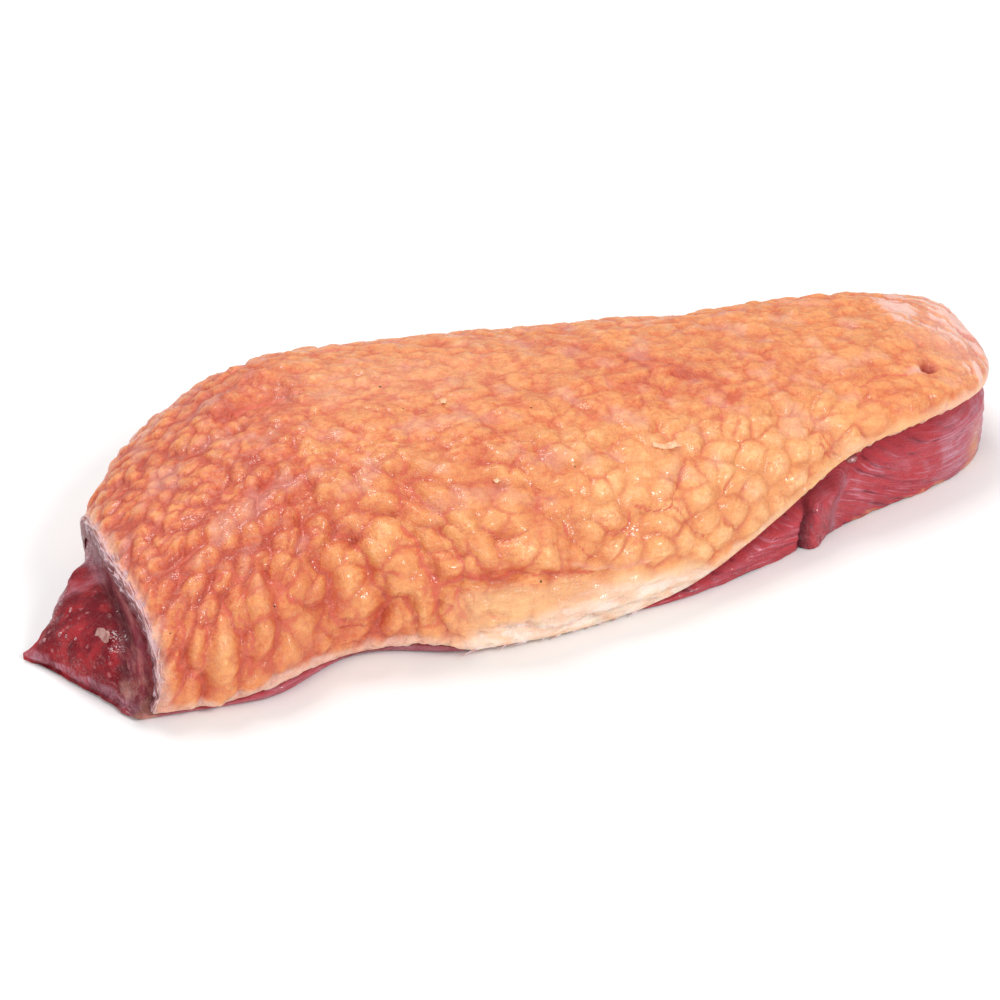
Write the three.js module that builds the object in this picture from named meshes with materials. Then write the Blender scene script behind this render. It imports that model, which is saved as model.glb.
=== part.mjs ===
// Smoked duck breast, a whole piece lying skin side up. Millimetres, +Z up.
// +X runs along the breast from the bare pointed end to the blunt end. The skin's wavy lip is on the -Y side.
// The origin is on the board, under the middle of the whole piece.
// Two solids: the lean meat, and the skin with its fat, which bends over the meat and stops short of it
// at the pointed end and along the lip.
import * as THREE from 'three';
import { mergeVertices } from 'three/addons/utils/BufferGeometryUtils.js';

// Ends of the piece
const TIP = { x: -99.5, y: -15, z: 1.5 };              // point of the bare meat
const FACET_X = -84.8;                                 // where the meat starts to taper to its point
const TAPER = { near: 1.15, far: 2, top: 1.05 };       // how each side of the point falls away: 1 is straight
const CUT_X = -82.5;                                   // left edge of the skin, on the whole
const SKIN_START = profile([0, -82], [0.12, -80.9], [0.28, -80.9], [0.5, -82.6], [0.72, -83], [1, -81.4]);
const NOSE = { start: 74, x: 100, y: 0, z: 16.6 };     // blunt end, rounded from `start` on
const ROUND_NEAR = 2.2, ROUND_FAR = 3.3;               // how square the blunt end's plan is on each side

// Outer surface of the skin by station along the breast: [x, value]
const NEAR_EDGE = profile([-83, -42.6], [-60, -43.8], [-30, -43.8], [-5, -44], [20, -40.3], [40, -33.6],
  [60, -26], [80, -21.8], [100, -21]);
const FAR_EDGE = profile([-83, 8], [-76, 18.5], [-68, 27.5], [-57, 37], [-40, 43.6], [-20, 42.8], [20, 36],
  [60, 27], [78, 24], [100, 24.5]);
const CROWN = profile([-83, 20.5], [-70, 25], [-50, 29.5], [-20, 31], [20, 29.3], [60, 25.8], [80, 24.2],
  [100, 22.5]);
const WIDEST = profile([-83, 7], [0, 7], [20, 8], [40, 11], [56, 15.4], [70, 17.4], [100, 17]);
const WAIST = { x: -42, half: 21, depth: 6.5 };        // hollow drawn into the near side
const TUCK = 3;                                        // how far the skin's foot turns in

// Lower edges of the skin, as heights above the board
const LIP = profile([-83, 2], [-20, 2], [8, 1], [24, 3.5], [44, 9.8], [60, 15.2], [80, 17.2], [100, 17]);
const SCALLOPS = [{ x: -57, half: 14, rise: 2 }, { x: -30, half: 11, rise: 2 }];
const FAR_LIP = profile([-83, 3.5], [-20, 3.5], [40, 3.5], [64, 5], [90, 12], [100, 17]);

// Skin and fat over the meat
const SIDE_FAT = 3.8, GAP = 0.75, RIM_BULGE = 0.7, LEAST_HEIGHT = 0.5;
const TOP_FAT = profile([-83, 4.7], [-62, 5.8], [-30, 6.2], [70, 5.6], [100, 4.8]);
const NOSE_FAT = 4.3;

// Lean meat that shows below the skin: inset from the skin's near edge (negative stands proud of it)
const BARE_INSET = profile([-83, 1], [-57, 0.4], [-30, 1.6], [5, 2], [20, 0.4], [34, -0.9], [80, -0.6], [100, 0]);
const MEAT_TUCK = profile([-83, 2.2], [10, 2], [34, 1], [100, 1]);
const BARE_NOSE_X = 99.6, MEAT_NOSE_Z = 15, LIP_STEP = 0.17, LIP_CLEAR = 0.12;
const FAR_INSET = 1.5;

// Relief of the skin. `along` is x, `across` is the distance over the skin from its crown line, near side negative
const CREASES = [
  { name: 'long fold', depth: 1.4, width: 2.4, path: [[-34, -31], [-31, -36], [-29.4, -43], [-29, -52]] },
  { name: 'shelf fold', depth: 1.3, width: 2.3, path: [[-28, -46], [-23, -44], [-16, -46.5], [-4, -47.5], [2, -47.5]] },
  { name: 'low fold', depth: 1.1, width: 2.2, path: [[-40, -38], [-38, -45], [-34, -48], [-32.7, -53.5]] },
  { name: 'foot fold', depth: 1, width: 2.2, path: [[-46, -49.5], [-39, -51.5], [-36, -47]] },
  { name: 'pit', depth: 1.4, width: 2.4, path: [[-49, -34.5], [-46.8, -39], [-47, -46]] },
  { name: 'side fold', depth: 1, width: 2.3, path: [[-48.5, -26], [-49.8, -30], [-43, -33]] },
  { name: 'upper fold', depth: 0.9, width: 2.3, path: [[-28, -25], [-25, -32], [-25, -37], [-23, -43]] },
  { name: 'right fold', depth: 0.9, width: 2.2, path: [[-3, -38], [2, -45]] },
  { name: 'first finger', depth: 1, width: 2.2, path: [[-75, -25], [-76, -34], [-72, -43]] },
  { name: 'second finger', depth: 0.9, width: 2.2, path: [[-69.5, -29.5], [-71.5, -34.9], [-73.3, -38.4]] },
  { name: 'third finger', depth: 1, width: 2.2, path: [[-67, -31], [-64.4, -41], [-64.4, -46]] },
  { name: 'fourth finger', depth: 1, width: 2.2, path: [[-58, -29], [-58.5, -33], [-52.5, -42]] },
  { name: 'cobble fold', depth: 0.7, width: 2.2, path: [[11, -36], [20, -36.5], [25.8, -43.6]] },
  { name: 'shoulder', depth: 1, width: 2.4, path: [[-51, 10.6], [-44.5, 9.2], [-38, 9]] },
  { name: 'nose wrinkle', depth: 0.8, width: 2, path: [[89, 8], [93, 2], [96, -5]] },
  { name: 'dimple', depth: 1, width: 2, path: [[80, -14.4], [82.7, -14.4]] },
];
const LUMP = 8;                                        // size of a lump of skin
const LUMP_SEED = 3;
// Height of the lumps by patch: centre and reach along and across, then the height
const LUMP_PATCHES = [
  { along: -68, across: -5, reach: [32, 60], height: 1.1 },
  { along: -45, across: -40, reach: [26, 22], height: 1.8 },
  { along: -18, across: -34, reach: [24, 16], height: 1.5 },
  { along: 25, across: -32, reach: [38, 17], height: 1.4 },
  { along: -45, across: 14, reach: [20, 10], height: 0.9 },
];
const LUMP_REST = 0.45;
const BAND = { along: 0, across: -56, reach: [34, 8] };   // smooth fat below the shelf fold

// Relief of the bare meat
const FIBRE = { pitch: 3.6, depth: 0.3 };              // grooves along the near wall
const FLAP = { x: 55, half: 4, rise: 1.6 };            // fold of meat that hangs from the near wall
const CREVICE = { x: -87.6, half: 2.2, depth: 1.5 };   // groove under the skin's left edge

// Mesh steps
const SKIN_STEPS = { along: 80, across: 46, under: 2, noseRows: 6 };
const CROWN_SPREAD = 1.4;
const MEAT_STEPS = { along: 56, wall: 10, top: 9, base: 4 };

/** Smooth curve through [x, value] knots, level beyond the ends. */
function profile(...knots) {
  const slope = (i, j) => (knots[j][1] - knots[i][1]) / (knots[j][0] - knots[i][0]);
  const last = knots.length - 1;
  const tangents = knots.map((knot, i) => {
    if (i === 0) return slope(0, 1);
    if (i === last) return slope(last - 1, last);
    const before = knot[0] - knots[i - 1][0], after = knots[i + 1][0] - knot[0];
    return (slope(i, i + 1) * before + slope(i - 1, i) * after) / (before + after);
  });
  return (x) => {
    const at = THREE.MathUtils.clamp(x, knots[0][0], knots[last][0]);
    let i = 0;
    while (i < last - 1 && at >= knots[i + 1][0]) i++;
    const span = knots[i + 1][0] - knots[i][0], t = (at - knots[i][0]) / span;
    return (2 * t ** 3 - 3 * t ** 2 + 1) * knots[i][1] + (t ** 3 - 2 * t ** 2 + t) * span * tangents[i]
      + (3 * t ** 2 - 2 * t ** 3) * knots[i + 1][1] + (t ** 3 - t ** 2) * span * tangents[i + 1];
  };
}

const smooth = (t) => THREE.MathUtils.smoothstep(t, 0, 1);
const mix = THREE.MathUtils.lerp;
const hump = (x, centre, half) => Math.cos(Math.PI / 2 * THREE.MathUtils.clamp((x - centre) / half, -1, 1)) ** 2;
const signedPower = (v, power) => Math.sign(v) * Math.abs(v) ** power;

/** Share of the full section left at x as the blunt end rounds off, 1 down to 0. */
function noseShare(x, squareness) {
  const u = THREE.MathUtils.clamp((x - NOSE.start) / (NOSE.x - NOSE.start), 0, 1);
  return Math.max(1 - u ** squareness, 0) ** (1 / squareness);
}

const nearEdge = (x) => NEAR_EDGE(x) + WAIST.depth * hump(x, WAIST.x, WAIST.half);
const lipHeight = (x) => LIP(x) + SCALLOPS.reduce((sum, s) => sum + s.rise * hump(x, s.x, s.half), 0);

/** Cross-section point. The angle runs from the near side (0) over the crown to the far side (PI),
 *  and a quarter turn further at each end down to the foot. */
function section(angle, { near, far, crown, widest, tuck }) {
  const c = Math.cos(angle), s = Math.sin(angle);
  if (angle < 0) return [near + tuck * (1 - c), widest * (1 + s)];
  if (angle > Math.PI) return [far - tuck * (1 + c), widest * (1 + s)];
  const y = (near + far) / 2 - (far - near) / 2 * signedPower(c, c > 0 ? 2 / 2.9 : 2 / 2.3);
  return [y, widest + (crown - widest) * Math.max(s, 0) ** (2 / 2.2)];
}

/** Angles of the skin's lower edges at x. */
function skinEdges(x) {
  const widest = mix(NOSE.z, WIDEST(x), noseShare(x, ROUND_NEAR));
  const below = (height) => Math.asin(THREE.MathUtils.clamp(height / widest - 1, -1, 0));
  return { near: below(lipHeight(x)), far: Math.PI - below(FAR_LIP(x)) };
}

/** Smooth outer surface of the skin, before its relief. */
function outerPoint(x, angle) {
  const share = noseShare(x, ROUND_NEAR), farShare = noseShare(x, ROUND_FAR);
  const [y, z] = section(angle, {
    near: mix(NOSE.y, nearEdge(x), share), far: mix(NOSE.y, FAR_EDGE(x), farShare),
    crown: mix(NOSE.z, CROWN(x), (share + farShare) / 2), widest: mix(NOSE.z, WIDEST(x), share), tuck: TUCK,
  });
  return new THREE.Vector3(x, y, z);
}

/** How bare the meat is at (x, angle) on each side and at the end: 0 under the skin, 1 beyond its edges. */
function bareness(x, angle) {
  const edges = skinEdges(x);
  const beyond = (angleBeyond) => smooth((angleBeyond - LIP_CLEAR) / LIP_STEP);
  return { near: beyond(edges.near - angle), far: beyond(angle - edges.far), end: smooth((CUT_X - 1.6 - x) / 1.5) };
}

/** Surface of the meat. x is the skin's own x, so that a point of the meat lies under its point of the skin.
 *  `base` runs 0 to 1 across the flat underside. */
function meatPoint(x, angle, base = 0) {
  const at = Math.max(x, CUT_X), bare = bareness(x, angle);
  const share = noseShare(at, ROUND_NEAR), farShare = noseShare(at, ROUND_FAR);
  const near = nearEdge(at) + mix(SIDE_FAT, BARE_INSET(at), bare.near);
  const far = FAR_EDGE(at) - mix(SIDE_FAT, FAR_INSET, bare.far);
  const taper = THREE.MathUtils.clamp((x - TIP.x) / (FACET_X - TIP.x), 0, 1);
  const crown = mix(MEAT_NOSE_Z, CROWN(at) - TOP_FAT(at), (share + farShare) / 2);
  const shape = {
    near: mix(TIP.y, mix(NOSE.y, near, share), taper ** TAPER.near),
    far: mix(TIP.y, mix(NOSE.y, far, farShare), taper ** TAPER.far),
    crown: mix(TIP.z, crown, taper ** TAPER.top),
    widest: mix(TIP.z, Math.min(mix(MEAT_NOSE_Z, WIDEST(at) - 0.5, share), crown - share), taper),
    tuck: MEAT_TUCK(at) * taper * share,
  };
  const [y, z] = section(angle, shape);
  const noseX = mix(NOSE.x - NOSE_FAT, BARE_NOSE_X, Math.min(1, bare.near + bare.far));
  const stretched = x > 70 ? mix(70, noseX, (x - 70) / (NOSE.x - 70)) : x;
  const foot = mix(shape.near + shape.tuck, shape.far - shape.tuck, base);
  return base > 0 ? new THREE.Vector3(stretched, foot, 0) : new THREE.Vector3(stretched, y, Math.max(z, 0));
}

/** Outward normal of a surface function at (x, angle). */
function normalOf(surface, x, angle) {
  const step = 0.02;
  const alongX = surface(Math.min(x + 0.5, NOSE.x), angle).sub(surface(x - 0.5, angle));
  const aroundAngle = surface(x, angle + step).sub(surface(x, angle - step));
  const normal = alongX.cross(aroundAngle);
  return normal.lengthSq() > 1e-12 ? normal.normalize() : new THREE.Vector3(1, 0, 0);
}

const random = (i, j, k) => {
  const v = Math.sin(i * 127.1 + j * 311.7 + k * 74.7) * 43758.5453;
  return v - Math.floor(v);
};

/** Domes on a jittered grid of cells of size 1: 1 on a dome, falling to 0 in the valleys between. */
function cobbles(u, v, seed) {
  const column = Math.floor(u), row = Math.floor(v);
  let first = 9, second = 9;
  for (let i = column - 1; i <= column + 1; i++) {
    for (let j = row - 1; j <= row + 1; j++) {
      const du = i + 0.15 + 0.7 * random(i, j, seed) - u, dv = j + 0.15 + 0.7 * random(i, j, seed + 7) - v;
      const distance = Math.hypot(du, dv);
      if (distance < first) [first, second] = [distance, first];
      else if (distance < second) second = distance;
    }
  }
  return smooth((second - first) / 0.9) * 0.6 + 0.6 * (0.7 - first * first);
}

/** Distance from (u, v) to a path of points. */
function pathDistance(u, v, path) {
  let best = Infinity;
  for (let i = 0; i + 1 < path.length; i++) {
    const [au, av] = path[i], du = path[i + 1][0] - au, dv = path[i + 1][1] - av;
    const t = THREE.MathUtils.clamp(((u - au) * du + (v - av) * dv) / (du * du + dv * dv), 0, 1);
    best = Math.min(best, Math.hypot(u - au - t * du, v - av - t * dv));
  }
  return best;
}

const patchShare = (patch, along, across) => Math.exp(-(((along - patch.along) / patch.reach[0]) ** 2
  + ((across - patch.across) / patch.reach[1]) ** 2));

/** Height of the skin's relief: folds with raised shoulders, and lumps that vary by patch. */
function skinRelief(along, across) {
  let height = 0;
  for (const { depth, width, path } of CREASES) {
    const d = pathDistance(along, across, path) / width;
    height += depth * (0.4 * Math.exp(-((d - 1.9) ** 2)) - Math.exp(-d * d));
  }
  let lumps = LUMP_REST;
  for (const patch of LUMP_PATCHES) lumps = Math.max(lumps, patch.height * patchShare(patch, along, across));
  lumps *= (1 - 0.85 * patchShare(BAND, along, across)) * (1 - 0.9 * smooth((along - 55) / 25));
  return height + lumps * (cobbles(along / LUMP, across / LUMP, LUMP_SEED) - 0.5);
}

/** Height of the bare meat's relief: fibres, the hanging flap and the crevice by the skin. */
function meatRelief(x, angle) {
  const { z } = meatPoint(x, angle);
  const wall = smooth((x - 10) / 20) * smooth(-angle / 0.1);
  const fibres = FIBRE.depth * Math.sin((z + 0.035 * x + 0.8 * Math.sin(x / 13)) * 2 * Math.PI / FIBRE.pitch);
  const flap = FLAP.rise * hump(x, FLAP.x + (z - 8) * 0.2, FLAP.half) * smooth((9 - z) / 6);
  const crevice = CREVICE.depth * hump(x, CREVICE.x + angle * 0.5, CREVICE.half) * smooth(Math.sin(angle) * 3 + 0.4);
  const bare = bareness(x, angle);
  return (wall * fibres + flap * smooth(-angle) - crevice) * Math.min(1, bare.near + bare.far + bare.end);
}

/** Turns a grid geometry into one closed body: maps every vertex and drops the triangles that collapse. */
function shaped(geometry, map) {
  geometry.deleteAttribute('normal');
  geometry.deleteAttribute('uv');
  const position = geometry.getAttribute('position');
  const point = new THREE.Vector3();
  for (let i = 0; i < position.count; i++) {
    point.fromBufferAttribute(position, i);
    const { x, y, z } = map(point);
    position.setXYZ(i, x, y, z);
  }
  const welded = mergeVertices(geometry, 1e-3);
  const faces = welded.getIndex().array, kept = [];
  for (let i = 0; i < faces.length; i += 3) {
    const [a, b, c] = faces.slice(i, i + 3);
    if (a !== b && b !== c && c !== a) kept.push(a, b, c);
  }
  welded.setIndex(kept);
  return welded;
}

/** Section angle for a share of the way over the crown, -1 to 1, spaced evenly over a flat-topped section. */
const angleOver = (share) => Math.PI / 2 * (1 + Math.sign(share) * Math.abs(share) ** CROWN_SPREAD);
const shareOver = (angle) => {
  const turn = angle / (Math.PI / 2) - 1;
  return Math.sign(turn) * Math.abs(turn) ** (1 / CROWN_SPREAD);
};

/** Place on the skin, as x and section angle, from its shares along and across. */
function skinPlace(along, across) {
  const x = mix(SKIN_START(across), NOSE.x, along + 0.14 * (along - along ** 6));
  const edges = skinEdges(x);
  return { x, angle: angleOver(mix(shareOver(edges.near), shareOver(edges.far), across)) };
}

/** One row of places across the skin, evenly spaced over its surface. `across` is the distance from the crown. */
function skinRow(along, columns) {
  const fine = 6 * columns;
  const places = Array.from({ length: fine + 1 }, (_, k) => skinPlace(along, k / fine));
  const points = places.map(({ x, angle }) => outerPoint(x, angle));
  const run = [0];
  for (let k = 1; k <= fine; k++) run.push(run[k - 1] + points[k].distanceTo(points[k - 1]));
  const crown = run[places.findIndex(({ angle }) => angle >= Math.PI / 2)];
  let k = 0;
  return Array.from({ length: columns + 1 }, (_, j) => {
    const target = run[fine] * j / columns;
    while (k < fine - 1 && run[k + 1] < target) k++;
    const t = THREE.MathUtils.clamp((target - run[k]) / Math.max(run[k + 1] - run[k], 1e-9), 0, 1);
    return { x: mix(places[k].x, places[k + 1].x, t), angle: mix(places[k].angle, places[k + 1].angle, t),
      across: target - crown };
  });
}

function skinGeometry() {
  const { along: rows, across: columns, under: every, noseRows } = SKIN_STEPS;
  const grid = Array.from({ length: rows + 1 }, (_, i) => skinRow(i / rows, columns));
  const fade = (i) => smooth((rows - i) / noseRows);
  const top = (i, j) => {
    const { x, angle, across } = grid[i][j];
    const normal = normalOf(outerPoint, x, angle);
    return outerPoint(x, angle).addScaledVector(normal, skinRelief(x, across) * fade(i));
  };
  const under = (i, j) => {
    const row = i > rows - noseRows ? i : Math.round(i / every) * every;
    const { x, angle } = grid[row][Math.round(j / every) * every];
    return meatPoint(x, angle).addScaledVector(normalOf(meatPoint, x, angle), GAP * (2 - fade(i)));
  };
  const rimSide = (i, j) => {
    const { x, angle } = grid[i][j];
    const side = new THREE.Vector3(i === 0 ? -1 : 0, 0, 0);
    const outward = outerPoint(x, angle + (j === 0 ? -0.05 : 0.05)).sub(outerPoint(x, angle));
    if ((j === 0 || j === columns) && outward.length() > 1e-6) side.add(outward.normalize());
    return side.normalize().multiplyScalar(RIM_BULGE * fade(i));
  };
  const block = new THREE.BoxGeometry(1, 1, 1, rows, columns, 2);
  return shaped(block, ({ x, y, z }) => {
    const i = Math.round((x + 0.5) * rows), j = Math.round((y + 0.5) * columns);
    const point = z > -0.25 ? top(i, j) : under(i, j);
    if (Math.abs(z) < 0.25) point.lerp(under(i, j), 0.5).add(rimSide(i, j));
    point.z = Math.max(point.z, LEAST_HEIGHT);
    return point;
  });
}

/** Columns round the meat: each wall, the covered top and the flat base, even on both sides. */
function meatColumn(share) {
  const { wall, top, base } = MEAT_STEPS;
  const column = share * (2 * wall + top + base);
  if (column <= wall) return { angle: -Math.PI / 2 * (1 - column / wall), base: 0 };
  if (column <= wall + top) return { angle: angleOver(2 * (column - wall) / top - 1), base: 0 };
  if (column <= 2 * wall + top) return { angle: Math.PI * (1 + (column - wall - top) / wall / 2), base: 0 };
  return { angle: Math.PI * 1.5, base: 1 - (column - 2 * wall - top) / base };
}

function meatGeometry() {
  const { along: rows, wall, top, base } = MEAT_STEPS;
  const columns = 2 * wall + top + base;
  const tube = new THREE.CylinderGeometry(1, 1, 1, columns, rows, true);
  return shaped(tube, ({ x, y, z }) => {
    const turn = Math.round(THREE.MathUtils.euclideanModulo(Math.atan2(x, z) / (2 * Math.PI), 1) * columns) % columns;
    const along = 0.5 - y;
    const spread = 0.6 * along + 0.4 * (0.5 - 0.5 * Math.cos(Math.PI * along));
    const place = mix(TIP.x, NOSE.x, spread);
    const column = meatColumn(turn / columns);
    const point = meatPoint(place, column.angle, column.base);
    if (column.base > 0 || along < 1e-6 || along > 1 - 1e-6) return point;
    const normal = normalOf(meatPoint, place, column.angle);
    point.addScaledVector(normal, meatRelief(place, column.angle) * smooth(along * (1 - along) * 40));
    point.z = Math.max(point.z, 0);
    return point;
  });
}

function piece(name, geometry, colour, roughness) {
  geometry.computeVertexNormals();
  const mesh = new THREE.Mesh(geometry, new THREE.MeshStandardMaterial({ color: colour, roughness, metalness: 0 }));
  mesh.name = name;
  return mesh;
}

const breast = new THREE.Group();
breast.add(piece('lean_meat', meatGeometry(), 0x9c4148, 0.35));
breast.add(piece('skin_and_fat', skinGeometry(), 0xf3a273, 0.45));

// Centre the piece over the origin, with its base on the board
const box = new THREE.Box3().setFromObject(breast);
const middle = box.getCenter(new THREE.Vector3());
breast.position.set(-middle.x, -middle.y, -box.min.z);

export default breast;
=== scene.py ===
"""Smoked duck breast lying skin side up on a pale floor.

The skin with its fat, the lean meat under it and the small scraps on both are each one piece.
+X runs from the bare pointed end to the blunt end, and the skin's wavy lip is on the -Y side.
Lengths are millimetres until a mesh is made. `along` is x, and `across` is the distance over the skin
from its crown line, negative on the near side.
"""
import logging
import math
from dataclasses import dataclass, field
from enum import Enum

import bmesh
import bpy
import numpy as np
from mathutils import Matrix, Vector


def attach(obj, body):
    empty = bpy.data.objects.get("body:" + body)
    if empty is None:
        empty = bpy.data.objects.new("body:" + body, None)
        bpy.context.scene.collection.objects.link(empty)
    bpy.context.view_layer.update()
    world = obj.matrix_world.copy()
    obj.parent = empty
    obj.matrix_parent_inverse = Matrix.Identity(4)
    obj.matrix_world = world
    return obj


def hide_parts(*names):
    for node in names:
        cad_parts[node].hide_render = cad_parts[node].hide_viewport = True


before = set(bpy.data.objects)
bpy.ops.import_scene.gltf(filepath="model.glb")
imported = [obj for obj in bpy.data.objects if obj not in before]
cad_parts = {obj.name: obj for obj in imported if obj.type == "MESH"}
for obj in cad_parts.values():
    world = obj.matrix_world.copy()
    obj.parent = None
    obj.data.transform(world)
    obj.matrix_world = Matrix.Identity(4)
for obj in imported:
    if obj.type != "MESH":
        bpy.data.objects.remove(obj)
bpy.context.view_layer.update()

Array = np.ndarray
LOG = logging.getLogger("duck_breast")
METRES = 0.001
# The solids stand centred over the origin: how far that moves the form's own coordinates
CENTRED = np.array([-0.25, 0.16887, 0.0])
# Vertices closer than this are one
MERGE_METRES = 2e-6
# Added, in pixels, to how far a point that the camera doesn't see is from a place in the photo
HIDDEN_PENALTY = 1e4


# Small functions on arrays


def smooth(share: Array) -> Array:
    """Smooth step from 0 at 0 to 1 at 1."""
    share = np.clip(share, 0.0, 1.0)
    return share * share * (3.0 - 2.0 * share)


def mix(low: Array, high: Array, share: Array) -> Array:
    """Straight blend from low at 0 to high at 1."""
    return low * (1.0 - share) + high * share


def hump(x: Array, centre: Array, half: float) -> Array:
    """Smooth hump, 1 at the centre and 0 at half its width from there on."""
    return np.cos(np.pi / 2 * np.clip((x - centre) / half, -1.0, 1.0)) ** 2


def window(x: Array, low: float, high: float, feather: float) -> Array:
    """1 between low and high, falling to 0 over the feather's width at each end."""
    return smooth((x - low) / feather + 0.5) * smooth((high - x) / feather + 0.5)


def spot(x: Array, y: Array, centre: tuple[float, float], reach: tuple[float, float]) -> Array:
    """Soft round spot, 1 at its centre."""
    return np.exp(-(((x - centre[0]) / reach[0]) ** 2 + ((y - centre[1]) / reach[1]) ** 2))


def signed_power(value: Array, power: Array) -> Array:
    """Power of a value's size, with the value's sign kept."""
    return np.sign(value) * np.abs(value) ** power


def path_distance(x: Array, y: Array, path: tuple[tuple[float, float], ...]) -> tuple[Array, Array]:
    """How far each point (x, y) is from a path of straight stretches.

    Args:
        x, y: the points.
        path: the path's corners.

    Returns:
        The distance, and 1 for points left of the path as it runs or -1 for points right of it.
    """
    best, side = np.full(np.shape(x), np.inf), np.ones(np.shape(x))
    for (ax, ay), (bx, by) in zip(path[:-1], path[1:]):
        dx, dy = bx - ax, by - ay
        t = np.clip(((x - ax) * dx + (y - ay) * dy) / (dx * dx + dy * dy), 0.0, 1.0)
        distance = np.hypot(x - ax - t * dx, y - ay - t * dy)
        side = np.where(distance < best, np.sign(dx * (y - ay) - dy * (x - ax)), side)
        best = np.minimum(best, distance)
    return best, side


@dataclass(frozen=True)
class Curve:
    """Smooth curve through (x, value) knots, level beyond its ends."""

    knots: tuple[tuple[float, float], ...]

    def __call__(self, x: Array) -> Array:
        """Value at each x."""
        xs, ys = np.array(self.knots, dtype=float).T
        span = np.diff(xs)
        slope = np.diff(ys) / span
        inner = (slope[1:] * span[:-1] + slope[:-1] * span[1:]) / (span[1:] + span[:-1])
        tangent = np.concatenate([slope[:1], inner, slope[-1:]])
        x = np.clip(x, xs[0], xs[-1])
        i = np.clip(np.searchsorted(xs, x, side="right") - 1, 0, len(xs) - 2)
        t = (x - xs[i]) / span[i]
        return (
            (2 * t**3 - 3 * t**2 + 1) * ys[i]
            + (t**3 - 2 * t**2 + t) * span[i] * tangent[i]
            + (3 * t**2 - 2 * t**3) * ys[i + 1]
            + (t**3 - t**2) * span[i] * tangent[i + 1]
        )


@dataclass(frozen=True)
class PhotoView:
    """The photo's camera. It ties places read in the photo, in its pixels, to places on the breast."""

    azimuth: float = -20.0
    elevation: float = 34.0
    distance: float = 640.0
    aim: tuple[float, float, float] = (-6.0, -12.5, 12.0)
    middle: float = 500.0
    focal_pixels: float = 3386.0

    def back(self) -> Array:
        """Direction from the aim to the camera."""
        azimuth, elevation = math.radians(self.azimuth), math.radians(self.elevation)
        level = math.cos(elevation)
        return np.array([math.sin(azimuth) * level, -math.cos(azimuth) * level, math.sin(elevation)])

    def eye(self) -> Array:
        """Where the camera stands."""
        return np.array(self.aim) + self.back() * self.distance

    def pixels(self, points: Array) -> Array:
        """Where points of the breast show in the photo."""
        azimuth = math.radians(self.azimuth)
        right = np.array([math.cos(azimuth), math.sin(azimuth), 0.0])
        up = np.cross(self.back(), right)
        away = points - self.eye()
        scale = self.focal_pixels / -(away @ self.back())
        return self.middle + np.stack([away @ right * scale, away @ -up * scale], -1)

    def facing(self, points: Array, normals: Array) -> Array:
        """Which points of a surface face the camera."""
        return ((self.eye() - points) * normals).sum(-1) > 0


# Patterns


class Pattern(Enum):
    """Patterns that the relief and the finishes share, so that colour follows shape."""

    SEAMS = "distance from the edges of a field of cells"
    CORES = "distance from the middle of the nearest cell"
    TINTS = "one random value for each cell"
    CLOUDS = "soft noise about 0.5"


CELL_JITTER = 0.85


def pattern_node(tree: bpy.types.NodeTree, pattern: Pattern) -> bpy.types.NodeSocket:
    """Adds the pattern's texture node to a shader or geometry tree.

    Args:
        tree: the tree that gets the node.
        pattern: which pattern.

    Returns:
        The node's output socket; its Vector input is left open.
    """
    if pattern is Pattern.CLOUDS:
        node = tree.nodes.new("ShaderNodeTexNoise")
        node.noise_dimensions = "2D"
        node.inputs["Detail"].default_value = 1.5
        node.inputs["Scale"].default_value = 1.0
        return node.outputs[0]
    node = tree.nodes.new("ShaderNodeTexVoronoi")
    node.voronoi_dimensions = "2D"
    node.inputs["Scale"].default_value = 1.0
    node.inputs["Randomness"].default_value = CELL_JITTER
    if pattern is Pattern.SEAMS:
        node.feature = "DISTANCE_TO_EDGE"
        return node.outputs["Distance"]
    if pattern is Pattern.CORES:
        node.feature = "SMOOTH_F1"
        node.inputs["Smoothness"].default_value = 0.3
        return node.outputs["Distance"]
    node.feature = "F1"
    return node.outputs["Color"]


def sampled(pattern: Pattern, u: Array, v: Array) -> Array:
    """Values of a pattern at points, as the shaders have them.

    Args:
        pattern: which pattern.
        u, v: the points, in cells.

    Returns:
        One value for each point.
    """
    points = np.stack([u, v, np.zeros_like(u)], -1).reshape(-1, 3)
    mesh = bpy.data.meshes.new("samples")
    mesh.vertices.add(len(points))
    mesh.vertices.foreach_set("co", points.astype(np.float32).ravel())
    tree = bpy.data.node_groups.new("sampling", "GeometryNodeTree")
    for way in ("INPUT", "OUTPUT"):
        tree.interface.new_socket("Geometry", in_out=way, socket_type="NodeSocketGeometry")
    enter, leave = tree.nodes.new("NodeGroupInput"), tree.nodes.new("NodeGroupOutput")
    place = tree.nodes.new("GeometryNodeInputPosition")
    store = tree.nodes.new("GeometryNodeStoreNamedAttribute")
    store.inputs["Name"].default_value = "sample"
    value = pattern_node(tree, pattern)
    tree.links.new(place.outputs[0], value.node.inputs["Vector"])
    tree.links.new(enter.outputs[0], store.inputs["Geometry"])
    tree.links.new(value, store.inputs["Value"])
    tree.links.new(store.outputs[0], leave.inputs[0])
    holder = bpy.data.objects.new("samples", mesh)
    bpy.context.scene.collection.objects.link(holder)
    holder.modifiers.new("sampling", "NODES").node_group = tree
    shown = holder.evaluated_get(bpy.context.evaluated_depsgraph_get()).data
    values = np.zeros(len(points), dtype=np.float32)
    shown.attributes["sample"].data.foreach_get("value", values)
    bpy.data.objects.remove(holder)
    bpy.data.meshes.remove(mesh)
    bpy.data.node_groups.remove(tree)
    return values.astype(float).reshape(np.shape(u))


def clouds(x: Array, y: Array, size: float, seed: float) -> Array:
    """Soft noise from about -1 to 1, with patches of the given size."""
    return 4.0 * (sampled(Pattern.CLOUDS, x / size + 17.3 * seed, y / size - 9.1 * seed) - 0.5)


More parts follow.
